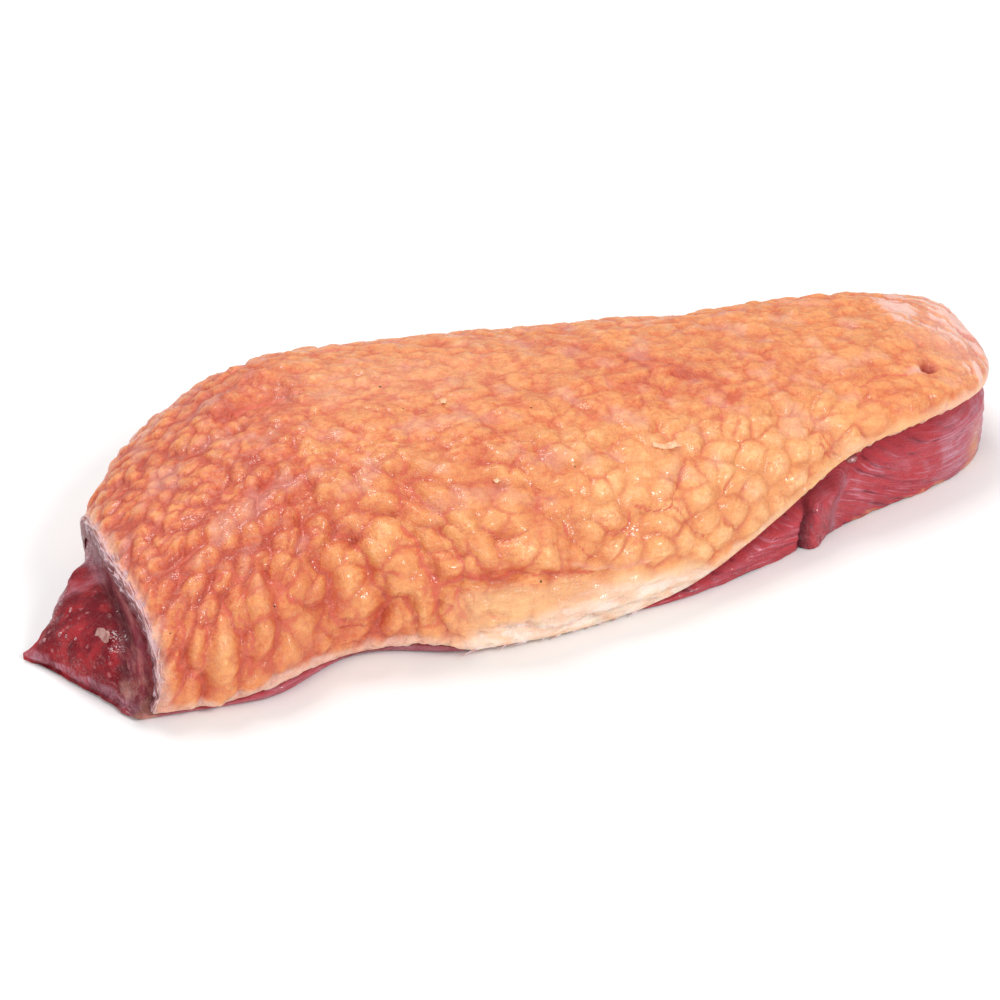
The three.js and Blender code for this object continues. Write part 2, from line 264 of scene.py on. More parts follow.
# The form of the breast


@dataclass(frozen=True)
class BreastForm:
    """Smooth form of the skin and of the meat, by x along it and angle round its section.

    The angle is 0 near the widest line of the near side, a quarter turn at the crown and half a turn at the
    far side's widest line, and it goes a quarter turn further at each end, down to the foot.
    """

    tip: tuple[float, float, float] = (-99.5, -15.0, 1.5)
    facet_x: float = -84.8
    taper: tuple[float, float, float] = (1.15, 2.0, 1.05)
    cut_x: float = -82.5
    skin_start: Curve = Curve(((0, -82), (0.12, -80.9), (0.28, -80.9), (0.5, -82.6), (0.72, -83), (1, -81.4)))
    nose_start: float = 74.0
    nose: tuple[float, float, float] = (100.0, 0.0, 16.6)
    round_near: float = 2.2
    round_far: float = 3.3
    near_edge: Curve = Curve(
        (
            (-83, -42.6), (-60, -43.8), (-30, -43.8), (-5, -44), (20, -40.3),
            (40, -33.6), (60, -26), (80, -21.8), (100, -21),
        )
    )
    far_edge: Curve = Curve(
        (
            (-83, 8), (-76, 18.5), (-68, 27.5), (-57, 37), (-40, 43.6),
            (-20, 42.8), (20, 36), (60, 27), (78, 24), (100, 24.5),
        )
    )
    crown: Curve = Curve(
        ((-83, 20.5), (-70, 25), (-50, 29.5), (-20, 31), (20, 29.3), (60, 25.8), (80, 24.2), (100, 22.5))
    )
    widest: Curve = Curve(((-83, 7), (0, 7), (20, 8), (40, 11), (56, 15.4), (70, 17.4), (100, 17)))
    waist: tuple[float, float, float] = (-42, 21, 6.5)
    tuck: float = 3.0
    lip: Curve = Curve(((-83, 2), (-20, 2), (8, 1), (24, 3.5), (44, 9.8), (60, 15.2), (80, 17.2), (100, 17)))
    scallops: tuple[tuple[float, float, float], ...] = ((-57, 14, 2), (-30, 11, 2))
    far_lip: Curve = Curve(((-83, 3.5), (-20, 3.5), (40, 3.5), (64, 5), (90, 12), (100, 17)))
    side_fat: float = 3.8
    top_fat: Curve = Curve(((-83, 4.7), (-62, 5.8), (-30, 6.2), (70, 5.6), (100, 4.8)))
    nose_fat: float = 4.3
    bare_inset: Curve = Curve(
        ((-83, 1), (-57, 0.4), (-30, 1.6), (5, 2), (20, 0.4), (34, -0.9), (80, -0.6), (100, 0))
    )
    far_inset: float = 1.5
    meat_tuck: Curve = Curve(((-83, 2.2), (10, 2), (34, 1), (100, 1)))
    bare_nose_x: float = 99.6
    meat_nose_z: float = 15.0
    lip_step: float = 0.17
    lip_clear: float = 0.12
    crown_spread: float = 1.4

    def share(self, x: Array, squareness: float) -> Array:
        """Share of the full section left at x as the blunt end rounds off."""
        u = np.clip((x - self.nose_start) / (self.nose[0] - self.nose_start), 0.0, 1.0)
        return np.maximum(1 - u**squareness, 0.0) ** (1 / squareness)

    def near(self, x: Array) -> Array:
        """Y of the skin's near side, with the waist drawn in."""
        return self.near_edge(x) + self.waist[2] * hump(x, self.waist[0], self.waist[1])

    def section(self, angle: Array, near: Array, far: Array, crown: Array, widest: Array, tuck: Array):
        """Cross-section point for an angle, as y and z."""
        c, s = np.cos(angle), np.sin(angle)
        y = (near + far) / 2 - (far - near) / 2 * signed_power(c, np.where(c > 0, 2 / 2.9, 2 / 2.3))
        z = widest + (crown - widest) * np.maximum(s, 0.0) ** (2 / 2.2)
        y = np.where(angle < 0, near + tuck * (1 - c), y)
        y = np.where(angle > np.pi, far - tuck * (1 + c), y)
        return y, np.where((angle < 0) | (angle > np.pi), widest * (1 + s), z)

    def skin_edges(self, x: Array) -> tuple[Array, Array]:
        """Angles of the skin's lower edges at x, near and far."""
        widest = mix(self.nose[2], self.widest(x), self.share(x, self.round_near))
        lip = self.lip(x) + sum(rise * hump(x, at, half) for at, half, rise in self.scallops)
        near = np.arcsin(np.clip(lip / widest - 1, -1, 0))
        return near, np.pi - np.arcsin(np.clip(self.far_lip(x) / widest - 1, -1, 0))

    def outer(self, x: Array, angle: Array) -> Array:
        """Points of the skin's smooth outer surface."""
        near, far = self.share(x, self.round_near), self.share(x, self.round_far)
        y, z = self.section(
            angle,
            mix(self.nose[1], self.near(x), near),
            mix(self.nose[1], self.far_edge(x), far),
            mix(self.nose[2], self.crown(x), (near + far) / 2),
            mix(self.nose[2], self.widest(x), near),
            self.tuck,
        )
        return np.stack([x + 0 * y, y, z], -1)

    def bareness(self, x: Array, angle: Array) -> tuple[Array, Array, Array]:
        """How bare the meat is on the near side, the far side and the pointed end, from 0 to 1."""
        near, far = self.skin_edges(x)
        past_near = smooth((near - angle - self.lip_clear) / self.lip_step)
        past_far = smooth((angle - far - self.lip_clear) / self.lip_step)
        return past_near, past_far, smooth((self.cut_x - 1.6 - x) / 1.5)

    def meat(self, x: Array, angle: Array, base: Array) -> Array:
        """Points of the meat's smooth surface. Base runs 0 to 1 across the underside."""
        at = np.maximum(x, self.cut_x)
        bare_near, bare_far, _ = self.bareness(x, angle)
        near_share, far_share = self.share(at, self.round_near), self.share(at, self.round_far)
        near = self.near(at) + mix(self.side_fat, self.bare_inset(at), bare_near)
        far = self.far_edge(at) - mix(self.side_fat, self.far_inset, bare_far)
        taper = np.clip((x - self.tip[0]) / (self.facet_x - self.tip[0]), 0.0, 1.0)
        crown = mix(self.meat_nose_z, self.crown(at) - self.top_fat(at), (near_share + far_share) / 2)
        widest = np.minimum(mix(self.meat_nose_z, self.widest(at) - 0.5, near_share), crown - near_share)
        near = mix(self.tip[1], mix(self.nose[1], near, near_share), taper ** self.taper[0])
        far = mix(self.tip[1], mix(self.nose[1], far, far_share), taper ** self.taper[1])
        tuck = self.meat_tuck(at) * taper * near_share
        crown, widest = mix(self.tip[2], crown, taper ** self.taper[2]), mix(self.tip[2], widest, taper)
        y, z = self.section(angle, near, far, crown, widest, tuck)
        end = mix(self.nose[0] - self.nose_fat, self.bare_nose_x, np.minimum(1, bare_near + bare_far))
        x = np.where(x > 70, mix(70, end, (x - 70) / (self.nose[0] - 70)), x)
        y = np.where(base > 0, mix(near + tuck, far - tuck, base), y)
        return np.stack([x + 0 * y, y, np.where(base > 0, 0.0, np.maximum(z, 0.0))], -1)

    def normal(self, surface, x: Array, angle: Array) -> Array:
        """Outward normals of a surface of x and angle."""
        ahead, behind = np.minimum(x + 0.5, self.nose[0]), x - 0.5
        lengthwise = surface(ahead, angle) - surface(behind, angle)
        normal = np.cross(lengthwise, surface(x, angle + 0.02) - surface(x, angle - 0.02))
        length = np.linalg.norm(normal, axis=-1, keepdims=True)
        return np.where(length > 1e-6, normal / np.maximum(length, 1e-6), np.array([1.0, 0.0, 0.0]))

    def under_skin(self, x: Array, angle: Array) -> Array:
        """Points of the meat's surface, off its base."""
        return self.meat(x, angle, np.zeros_like(angle))

    def angle_over(self, share: Array) -> Array:
        """Section angle for a share of the way over the crown, from -1 to 1."""
        return np.pi / 2 * (1 + signed_power(share, self.crown_spread))

    def share_over(self, angle: Array) -> Array:
        """Share of the way over the crown for a section angle."""
        return signed_power(angle / (np.pi / 2) - 1, 1 / self.crown_spread)

    def skin_rows(self, shares: Array, columns: int) -> tuple[Array, Array, Array, Array]:
        """Places on the skin in rows, evenly spaced over the surface in each row.

        Args:
            shares: each row's share of the way along the skin.
            columns: steps in a row.

        Returns:
            For each row and column: x, angle, distance from the crown, and from the nearer side edge.
        """
        across = np.linspace(0, 1, 5 * columns + 1)[None, :]
        along = (shares + 0.14 * (shares - shares**6))[:, None]
        x = mix(self.skin_start(across), self.nose[0], along)
        near, far = self.skin_edges(x)
        angle = self.angle_over(mix(self.share_over(near), self.share_over(far), across))
        steps = np.linalg.norm(np.diff(self.outer(x, angle), axis=1), axis=-1)
        run = np.concatenate([np.zeros((len(shares), 1)), np.cumsum(steps, axis=1)], axis=1)
        rows = []
        for i in range(len(shares)):
            even = np.linspace(0, run[i, -1], columns + 1)
            crown = np.interp(np.pi / 2, angle[i], run[i])
            edge = np.minimum(even, run[i, -1] - even)
            rows.append(
                (np.interp(even, run[i], x[i]), np.interp(even, run[i], angle[i]), even - crown, edge)
            )
        x, angle, across, edge = (np.array(column) for column in zip(*rows))
        return x, angle, across, edge


class SkinChart:
    """Carries pixels of the photo over to the skin, as along and across."""

    def __init__(self, form: BreastForm, view: PhotoView, rows: int = 900, columns: int = 700) -> None:
        """Looks at the skin's smooth surface through the photo's camera."""
        x, angle, across, _ = form.skin_rows(np.linspace(0, 1, rows), columns)
        points = form.outer(x, angle)
        outward = np.cross(np.gradient(points, axis=0), np.gradient(points, axis=1))
        seen = view.facing(points, outward)
        self.places = np.stack([x, across], -1)[seen]
        self.pixels = view.pixels(points[seen])

    def path(self, pixels: tuple[tuple[int, int], ...]) -> tuple[tuple[float, float], ...]:
        """Places on the skin that show at the pixels."""
        nearest = [np.argmin(((self.pixels - pixel) ** 2).sum(-1)) for pixel in pixels]
        return tuple(tuple(self.places[i]) for i in nearest)


# Node work


class NodePad:
    """Adds nodes to one tree and wires them, so that a finish reads as a list of steps."""

    def __init__(self, tree: bpy.types.NodeTree) -> None:
        """Works in the given tree."""
        self.tree = tree

    def add(self, kind: str, inputs: dict | None = None, **settings) -> bpy.types.Node:
        """Adds a node.

        Args:
            kind: the node's type.
            inputs: what each input gets, a socket or a value.
            settings: the node's own properties.

        Returns:
            The node.
        """
        node = self.tree.nodes.new(kind)
        for name, value in settings.items():
            setattr(node, name, value)
        return self.feed(node, inputs or {})

    def feed(self, node: bpy.types.Node, inputs: dict) -> bpy.types.Node:
        """Gives each named input of a node its socket or value."""
        for name, value in inputs.items():
            if isinstance(value, bpy.types.NodeSocket):
                self.tree.links.new(value, node.inputs[name])
            else:
                node.inputs[name].default_value = value
        return node

    def attribute(self, name: str) -> bpy.types.Node:
        """Attribute node of the piece's own mesh."""
        return self.add("ShaderNodeAttribute", attribute_name=name)

    def mask(self, name: str) -> bpy.types.NodeSocket:
        """Value of one of the mesh's masks."""
        return self.attribute(name).outputs["Fac"]

    def place(self) -> bpy.types.NodeSocket:
        """Object coordinates in millimetres."""
        place = self.add("ShaderNodeTexCoord").outputs["Object"]
        return self.add("ShaderNodeVectorMath", {0: place, "Scale": 1000.0}, operation="SCALE").outputs[0]

    def scaled(self, vector: bpy.types.NodeSocket, size: tuple[float, float, float]) -> bpy.types.NodeSocket:
        """A vector divided by a size on each axis."""
        return self.add("ShaderNodeVectorMath", {0: vector, 1: size}, operation="DIVIDE").outputs[0]

    def maths(self, operation: str, first, second=0.0, clamp: bool = False) -> bpy.types.NodeSocket:
        """Result of a Math node."""
        node = self.add("ShaderNodeMath", {0: first, 1: second}, operation=operation, use_clamp=clamp)
        return node.outputs[0]

    def times(self, *factors) -> bpy.types.NodeSocket:
        """Product of all the factors."""
        result = factors[0]
        for factor in factors[1:]:
            result = self.maths("MULTIPLY", result, factor)
        return result

    def step(self, value, low: float, high: float, to_low: float = 0.0, to_high: float = 1.0):
        """Smooth step of a value from low to high."""
        inputs = {"Value": value, "From Min": low, "From Max": high, "To Min": to_low, "To Max": to_high}
        return self.add("ShaderNodeMapRange", inputs, interpolation_type="SMOOTHSTEP").outputs[0]

    def noise(self, vector, size: float, detail: float = 2.0, twist: float = 0.0) -> bpy.types.NodeSocket:
        """Noise with features of the given size in millimetres."""
        inputs = {"Vector": vector, "Scale": 1.0 / size, "Detail": detail, "Distortion": twist}
        return self.add("ShaderNodeTexNoise", inputs).outputs[0]

    def tint(self, under, over, share) -> bpy.types.NodeSocket:
        """Lays one colour over another."""
        return self.add("ShaderNodeMix", {0: share, 6: under, 7: over}, data_type="RGBA").outputs[2]

    def tints(self, colour, *layers) -> bpy.types.NodeSocket:
        """Lays colours over one another in turn, each given with its share."""
        for code, share in layers:
            colour = self.tint(colour, srgb(code), share)
        return colour

    def summed(self, start, *parts) -> bpy.types.NodeSocket:
        """Adds parts to a start, each given with its weight."""
        for part, weight in parts:
            start = self.maths("ADD", start, self.times(part, weight))
        return start

    def voronoi(self, vector, scale: float) -> bpy.types.NodeSocket:
        """Distance from the nearest of a field of points."""
        return self.add("ShaderNodeTexVoronoi", {"Vector": vector, "Scale": scale}).outputs["Distance"]

    def bump(self, height, strength: float, reach_mm: float) -> bpy.types.NodeSocket:
        """Normal for relief too fine for the mesh."""
        inputs = {"Strength": strength, "Distance": reach_mm * METRES, "Height": height}
        return self.add("ShaderNodeBump", inputs).outputs[0]

    def group(self, tree: bpy.types.NodeTree, **inputs) -> bpy.types.Node:
        """Places a shared node group, with its inputs given by name."""
        return self.add("ShaderNodeGroup", inputs, node_tree=tree)


def srgb(code: str) -> tuple[float, float, float, float]:
    """Linear colour from a hex code."""
    parts = [int(code[i : i + 2], 16) / 255 for i in (0, 2, 4)]
    return (*(p / 12.92 if p < 0.04045 else ((p + 0.055) / 1.055) ** 2.4 for p in parts), 1.0)


def new_material(name: str) -> tuple[bpy.types.Material, NodePad, bpy.types.Node]:
    """New material, with a pad on its tree and its shader node."""
    material = bpy.data.materials.new(name)
    material.use_nodes = True
    return material, NodePad(material.node_tree), material.node_tree.nodes["Principled BSDF"]


@dataclass(frozen=True)
class SharedEffects:
    """Node groups that the finishes use: blotches and wetness on skin and meat, veins on the skin."""

    blotches: bpy.types.NodeTree
    veins: bpy.types.NodeTree
    wetness: bpy.types.NodeTree

    @staticmethod
    def tree(name: str, inputs: dict[str, str], outputs: dict[str, str]):
        """New node group.

        Args:
            name: the group's name.
            inputs: each input's name and kind of socket.
            outputs: each output's name and kind of socket.

        Returns:
            The group's tree, a pad on it, its input node and its output node.
        """
        tree = bpy.data.node_groups.new(name, "ShaderNodeTree")
        for way, sockets in (("INPUT", inputs), ("OUTPUT", outputs)):
            for socket, kind in sockets.items():
                tree.interface.new_socket(socket, in_out=way, socket_type=f"NodeSocket{kind}")
        return tree, NodePad(tree), tree.nodes.new("NodeGroupInput"), tree.nodes.new("NodeGroupOutput")

    @classmethod
    def built(cls) -> "SharedEffects":
        """Builds all the groups once."""
        return cls(cls.make_blotches(), cls.make_veins(), cls.make_wetness())

    @classmethod
    def make_blotches(cls) -> bpy.types.NodeTree:
        """Soft irregular patches. Size is in millimetres, Amount from 0 to 1 sets how much they cover."""
        tree, pad, enter, leave = cls.tree(
            "blotches", {"Place": "Vector", "Size": "Float", "Amount": "Float"}, {"Mask": "Float"}
        )
        scale = pad.maths("DIVIDE", 1.0, enter.outputs["Size"])
        inputs = {"Vector": enter.outputs["Place"], "Scale": scale, "Detail": 3.0, "Distortion": 0.6}
        noise = pad.add("ShaderNodeTexNoise", inputs).outputs[0]
        raised = pad.maths("ADD", noise, pad.maths("MULTIPLY", enter.outputs["Amount"], 0.5))
        tree.links.new(pad.step(raised, 0.62, 0.95), leave.inputs["Mask"])
        return tree

    @classmethod
    def make_veins(cls) -> bpy.types.NodeTree:
        """Fine branching lines. Size is the mesh of the net in millimetres, Width a share of that."""
        tree, pad, enter, leave = cls.tree(
            "fine_veins", {"Place": "Vector", "Size": "Float", "Width": "Float"}, {"Mask": "Float"}
        )
        place = enter.outputs["Place"]
        wander = pad.add("ShaderNodeTexNoise", {"Vector": place, "Scale": 0.45, "Detail": 2.0})
        shift = pad.add("ShaderNodeVectorMath", {0: wander.outputs["Color"], "Scale": 4.0}, operation="SCALE")
        moved = pad.add("ShaderNodeVectorMath", {0: place, 1: shift.outputs[0]}).outputs[0]
        inputs = {"Vector": moved, "Scale": pad.maths("DIVIDE", 1.0, enter.outputs["Size"])}
        net = pad.add("ShaderNodeTexVoronoi", inputs, feature="DISTANCE_TO_EDGE").outputs["Distance"]
        line = pad.maths("SUBTRACT", 1.0, pad.maths("DIVIDE", net, enter.outputs["Width"]), clamp=True)
        fades = pad.step(pad.noise(place, 6.0), 0.45, 0.62)
        tree.links.new(pad.times(line, fades), leave.inputs["Mask"])
        return tree

    @classmethod
    def make_wetness(cls) -> bpy.types.NodeTree:
        """Clusters of small wet bumps. Height is in millimetres, Drops is where a bump can glint."""
        tree, pad, enter, leave = cls.tree(
            "wetness", {"Place": "Vector", "Cover": "Float"}, {"Height": "Float", "Drops": "Float"}
        )
        place = enter.outputs["Place"]
        patches = pad.summed(pad.noise(place, 4.5, 3.0), (enter.outputs["Cover"], 0.4))
        film = pad.step(patches, 0.65, 0.78)
        grain = pad.noise(place, 0.32, 1.0)
        fine = pad.noise(place, 0.9, 1.0)
        bumps = pad.maths("ADD", pad.times(grain, film, 0.36), pad.times(fine, 0.06))
        tree.links.new(bumps, leave.inputs["Height"])
        tree.links.new(pad.times(film, pad.step(grain, 0.52, 0.64)), leave.inputs["Drops"])
        return tree


# Mesh helpers


def finished(bm: bmesh.types.BMesh, name: str, material: bpy.types.Material) -> bpy.types.Object:
    """Turns a bmesh into a smooth-shaded object with one material."""
    mesh = bpy.data.meshes.new(name)
    bm.to_mesh(mesh)
    bm.free()
    mesh.polygons.foreach_set("use_smooth", np.ones(len(mesh.polygons), dtype=bool))
    piece = bpy.data.objects.new(name, mesh)
    mesh.materials.append(material)
    bpy.context.scene.collection.objects.link(piece)
    return piece


def spots_of(bm: bmesh.types.BMesh) -> Array:
    """Places of a bmesh's vertices."""
    return np.array([vert.co[:] for vert in bm.verts], dtype=float)


def move_to(bm: bmesh.types.BMesh, points: Array) -> None:
    """Puts each vertex at its point, given in the form's millimetres."""
    for vert, point in zip(bm.verts, (points + CENTRED) * METRES):
        vert.co = point


def face_outwards(bm: bmesh.types.BMesh) -> None:
    """Turns the faces of a closed body outwards."""
    bmesh.ops.recalc_face_normals(bm, faces=bm.faces)
    if bm.calc_volume(signed=True) < 0:
        bmesh.ops.reverse_faces(bm, faces=bm.faces)


def body(
    bm: bmesh.types.BMesh, name: str, masks: dict[str, Array], vectors: dict[str, Array], finish
) -> bpy.types.Object:
    """Closes a bmesh into a finished piece.

    Args:
        bm: the bmesh, with its vertices in place.
        name: the piece's name.
        masks, vectors: values and vectors of each vertex that the finish reads, by name.
        finish: what makes the material.

    Returns:
        The piece.
    """
    kinds = ((masks, bm.verts.layers.float), (vectors, bm.verts.layers.float_vector))
    layers = [(kind.new(name), values) for fields, kind in kinds for name, values in fields.items()]
    bm.verts.ensure_lookup_table()
    for layer, values in layers:
        for vert, value in zip(bm.verts, values):
            vert[layer] = value
    bmesh.ops.remove_doubles(bm, verts=bm.verts, dist=MERGE_METRES)
    bmesh.ops.dissolve_degenerate(bm, edges=bm.edges, dist=MERGE_METRES / 20)
    face_outwards(bm)
    return finished(bm, name, finish.material())


# The skin with its fat


@dataclass(frozen=True)
class Cells:
    """A field of rounded lumps over one part of the skin.

    `size` is a lump's length and breadth, `turn` the lumps' lie in degrees, `height` their rise, `round` how
    domed they are rather than flat-topped, `line` how dark the seams are drawn, `tone` how far the colour
    follows the lumps, `wander` how far the field is pulled about, and `reach` where it lies: from x,
    to x, from across, to across, feather.
    """

    name: str
    size: tuple[float, float]
    turn: float
    height: float
    round: float
    line: float
    tone: float
    wander: float
    reach: tuple[float, float, float, float, float]

    def field(self, along: Array, across: Array, seed: float) -> tuple[Array, Array]:
        """Coordinates in the field, in cells."""
        wide, tight = 2.0 * max(self.size), 0.6 * min(self.size)

        def drift(own_seed: float) -> Array:
            """How far the field is pulled about in one direction."""
            return clouds(along, across, wide, own_seed) + 0.35 * clouds(along, across, tight, own_seed)

        u, v = along + self.wander * drift(seed), across + self.wander * drift(seed + 5)
        c, s = math.cos(math.radians(self.turn)), math.sin(math.radians(self.turn))
        return (c * u + s * v) / self.size[0] + seed, (c * v - s * u) / self.size[1] - seed

    def share(self, along: Array, across: Array) -> Array:
        """How strongly the field shows at each place."""
        low_x, high_x, low, high, feather = self.reach
        return window(along, low_x, high_x, feather) * window(across, low, high, feather * 0.7)

    def lumps(self, u: Array, v: Array) -> Array:
        """Rise of the lumps at each place of the field, about 0 in the seams and up to 1 on the tallest."""
        patterns = (Pattern.SEAMS, Pattern.CORES, Pattern.TINTS)
        seam, core, tall = (sampled(pattern, u, v) for pattern in patterns)
        flat = 1 - (1 - np.clip(seam / 0.42, 0, 1)) ** 2
        dome = np.clip(1.1 - 3.3 * core**2, -0.3, 1.1)
        return mix(flat, dome, self.round) * (0.6 + 0.6 * tall)


@dataclass(frozen=True)
class Crease:
    """A fold line in the skin. Its path was read in the photo, in pixels.

    Deep 1 is a full fold. A lean of 1 lifts the skin left of the line as it runs over the rest.
    """

    name: str
    deep: float
    path: tuple[tuple[int, int], ...]
    lean: float = 0.0


@dataclass(frozen=True)
class Lump:
    """One lump of fat that stands out from its field, by place, reach and rise."""

    place: tuple[float, float]
    reach: tuple[float, float]
    rise: float


CREASES = (
    Crease("brow of the long fold", 0.6, ((407, 482), (420, 498), (439, 509))),
    Crease("run into the long fold", 0.6, ((380, 509), (391, 514), (400, 523))),
    Crease("long fold", 1.0, ((400, 523), (414, 539), (416, 555), (427, 571), (436, 600), (434, 620)), -1.0),
    Crease("upper fold", 0.6, ((439, 525), (443, 534), (452, 539), (461, 555), (464, 571)), 0.5),
    Crease("bridge from the long fold", 0.45, ((425, 555), (443, 550), (461, 548))),
    Crease("shelf fold", 1.0, ((436, 587), (457, 582), (464, 571), (475, 577), (498, 581), (516, 572)), 1.0),
    Crease("shelf fold's end", 0.9, ((516, 572), (534, 574), (566, 577), (597, 573)), 1.0),
    Crease("short fold", 0.5, ((484, 525), (498, 534), (509, 541))),
    Crease("right fold", 0.6, ((561, 523), (582, 546), (597, 559))),
    Crease("last finger's fold", 0.6, ((280, 589), (294, 596), (303, 607))),
    Crease("side fold", 0.75, ((294, 489), (294, 503), (303, 514), (305, 523), (303, 537), (298, 548))),
    Crease("side fold's branch", 0.7, ((305, 523), (321, 528), (339, 534), (348, 534))),
    Crease("pit", 1.1, ((314, 557), (328, 571), (332, 582), (332, 598), (337, 616), (343, 625)), 0.9),
    Crease("low fold", 0.9, ((355, 543), (366, 562), (371, 578), (378, 589), (389, 598), (405, 598)), 0.9),
    Crease("low fold's foot", 0.9, ((405, 598), (412, 612), (414, 627))),
    Crease("foot fold", 0.8, ((343, 630), (359, 627), (378, 625), (387, 609), (393, 598)), 0.8),
    Crease("notch of the hem", 0.5, ((439, 625), (452, 609))),
    Crease("hem fold", 0.6, ((457, 593), (461, 616), (468, 625))),
    Crease("cobble fold", 0.6, ((633, 502), (653, 511), (676, 507), (685, 518), (696, 530), (708, 539))),
    Crease("cobble fold's top", 0.5, ((685, 466), (685, 475), (676, 489), (674, 505))),
    Crease("cobble fold's start", 0.5, ((615, 536), (631, 525), (633, 511))),
    Crease("low arc on the right", 0.4, ((705, 428), (721, 425), (740, 437))),
    Crease("fold above the lip", 0.6, ((808, 425), (823, 432), (835, 450))),
    Crease("high arc on the right", 0.35, ((717, 419), (721, 409), (735, 394))),
    Crease("crown arc", 0.35, ((662, 396), (667, 389), (681, 382))),
    Crease("middle arc", 0.3, ((608, 443), (617, 450), (635, 453))),
    Crease("shoulder", 0.75, ((234, 409), (249, 402), (266, 396), (283, 392)), 0.7),
    Crease("shoulder's foot", 0.5, ((228, 422), (232, 430))),
    Crease("left crown line", 0.45, ((219, 475), (228, 488), (232, 492))),
    Crease("left crown nick", 0.4, ((268, 496), (281, 513))),
    Crease("nick above the brow", 0.5, ((399, 475), (407, 490))),
    Crease("crown nick", 0.35, ((399, 426), (413, 437))),
    Crease("first finger", 0.8, ((178, 608), (184, 626), (181, 647), (185, 666), (190, 680), (210, 689))),
    Crease("second finger", 0.6, ((210, 607), (206, 629), (207, 647), (203, 666), (200, 676))),
    Crease("third finger", 0.8, ((226, 611), (235, 629), (248, 647), (253, 661), (251, 673))),
    Crease("third finger's side", 0.5, ((222, 597), (231, 622))),
    Crease("fourth finger", 0.7, ((241, 614), (250, 629), (257, 647))),
    Crease("fifth finger", 0.8, ((264, 559), (266, 575), (281, 588), (295, 597), (307, 608)), -0.5),
    Crease("fingertips' fold", 0.6, ((256, 667), (270, 658), (281, 647), (286, 641))),
    Crease("fifth finger's side", 0.5, ((279, 622), (281, 632), (278, 642))),
    Crease("fold by the cut edge", 0.6, ((160, 655), (169, 652), (172, 661), (184, 670))),
    Crease("finger root", 0.6, ((251, 573), (248, 591), (238, 603))),
    Crease("pebble fold", 0.6, ((215, 579), (222, 570), (231, 569), (237, 576), (251, 575))),
    Crease("pebble line", 0.5, ((240, 540), (256, 544), (266, 543))),
    Crease("nose wrinkle", 0.5, ((918, 311), (936, 316), (954, 326), (970, 339), (982, 356))),
    Crease("nick at the lip", 0.6, ((823, 444), (829, 452), (835, 461))),
    Crease("dimple", 1.3, ((927, 365), (932, 363))),
    Crease("line before the dimple", 0.45, ((860, 386), (871, 377), (887, 372), (908, 373))),
    Crease("yellow fold", 0.4, ((470, 590), (480, 610), (500, 620))),
    Crease("band fold", 0.35, ((500, 590), (530, 587), (560, 590), (590, 585))),
    Crease("band edge", 0.4, ((543, 627), (554, 633), (575, 628), (596, 619), (615, 612), (641, 601)), 0.6),
    Crease("lip fold", 0.35, ((943, 418), (948, 411), (946, 403))),
    Crease("band line", 0.6, ((489, 630), (515, 631), (544, 629), (575, 624), (609, 616), (640, 602)), 0.6),
)

# Soft red stripe over the far side, and raised lines of pale tissue along the band, in the photo's pixels
RED_STRIPE = ((560, 345), (630, 360), (700, 375), (718, 393))
STRANDS = (
    ((574, 564), (599, 569), (620, 568), (650, 560)),
    ((560, 605), (600, 590), (640, 580)),
    ((540, 615), (580, 610), (620, 595)),
)
# The pit on the blunt end, along and across
DIMPLE = (83.2, -13.5)

LUMPS = (
    Lump((-51.7, 13.5), (4.2, 3.2), 1.3),
    Lump((-44.5, 15.7), (3.8, 3.4), 1.2),
    Lump((-38.8, 17.0), (4.5, 2.8), 0.9),
    Lump((-36.0, -39.5), (3.6, 6.5), 1.7),
    Lump((-43.5, -41.0), (2.8, 6.5), 1.3),
    Lump((-42.0, -47.0), (4.0, 2.5), 0.9),
    Lump((-26.8, -42.5), (2.4, 3.2), 0.9),
    Lump((-17.5, -43.0), (3.5, 2.5), 1.1),
    Lump((-8.0, -42.5), (4.5, 3.5), 1.1),
    Lump((-21.0, -34.0), (4.0, 4.0), 0.7),
    Lump((-31.0, -50.5), (2.2, 3.0), 0.8),
    Lump((-52.5, -36.5), (2.4, 4.5), 0.8),
    Lump((-56.5, -41.0), (2.0, 4.5), 0.7),
    Lump((-61.0, -38.5), (2.2, 6.5), 1.1),
    Lump((-69.0, -39.0), (2.4, 7.0), 1.2),
    Lump((-73.8, -34.0), (1.6, 5.0), 0.8),
    Lump((66.0, -25.5), (4.0, 2.6), 0.9),
    Lump((74.5, -23.5), (3.4, 2.4), 0.9),
    Lump((83.0, -21.5), (4.2, 2.6), 1.0),
    Lump((90.5, -20.0), (3.0, 2.4), 0.9),
    Lump(DIMPLE, (2.4, 2.0), 0.6),
    Lump(DIMPLE, (1.2, 0.9), -1.8),
)

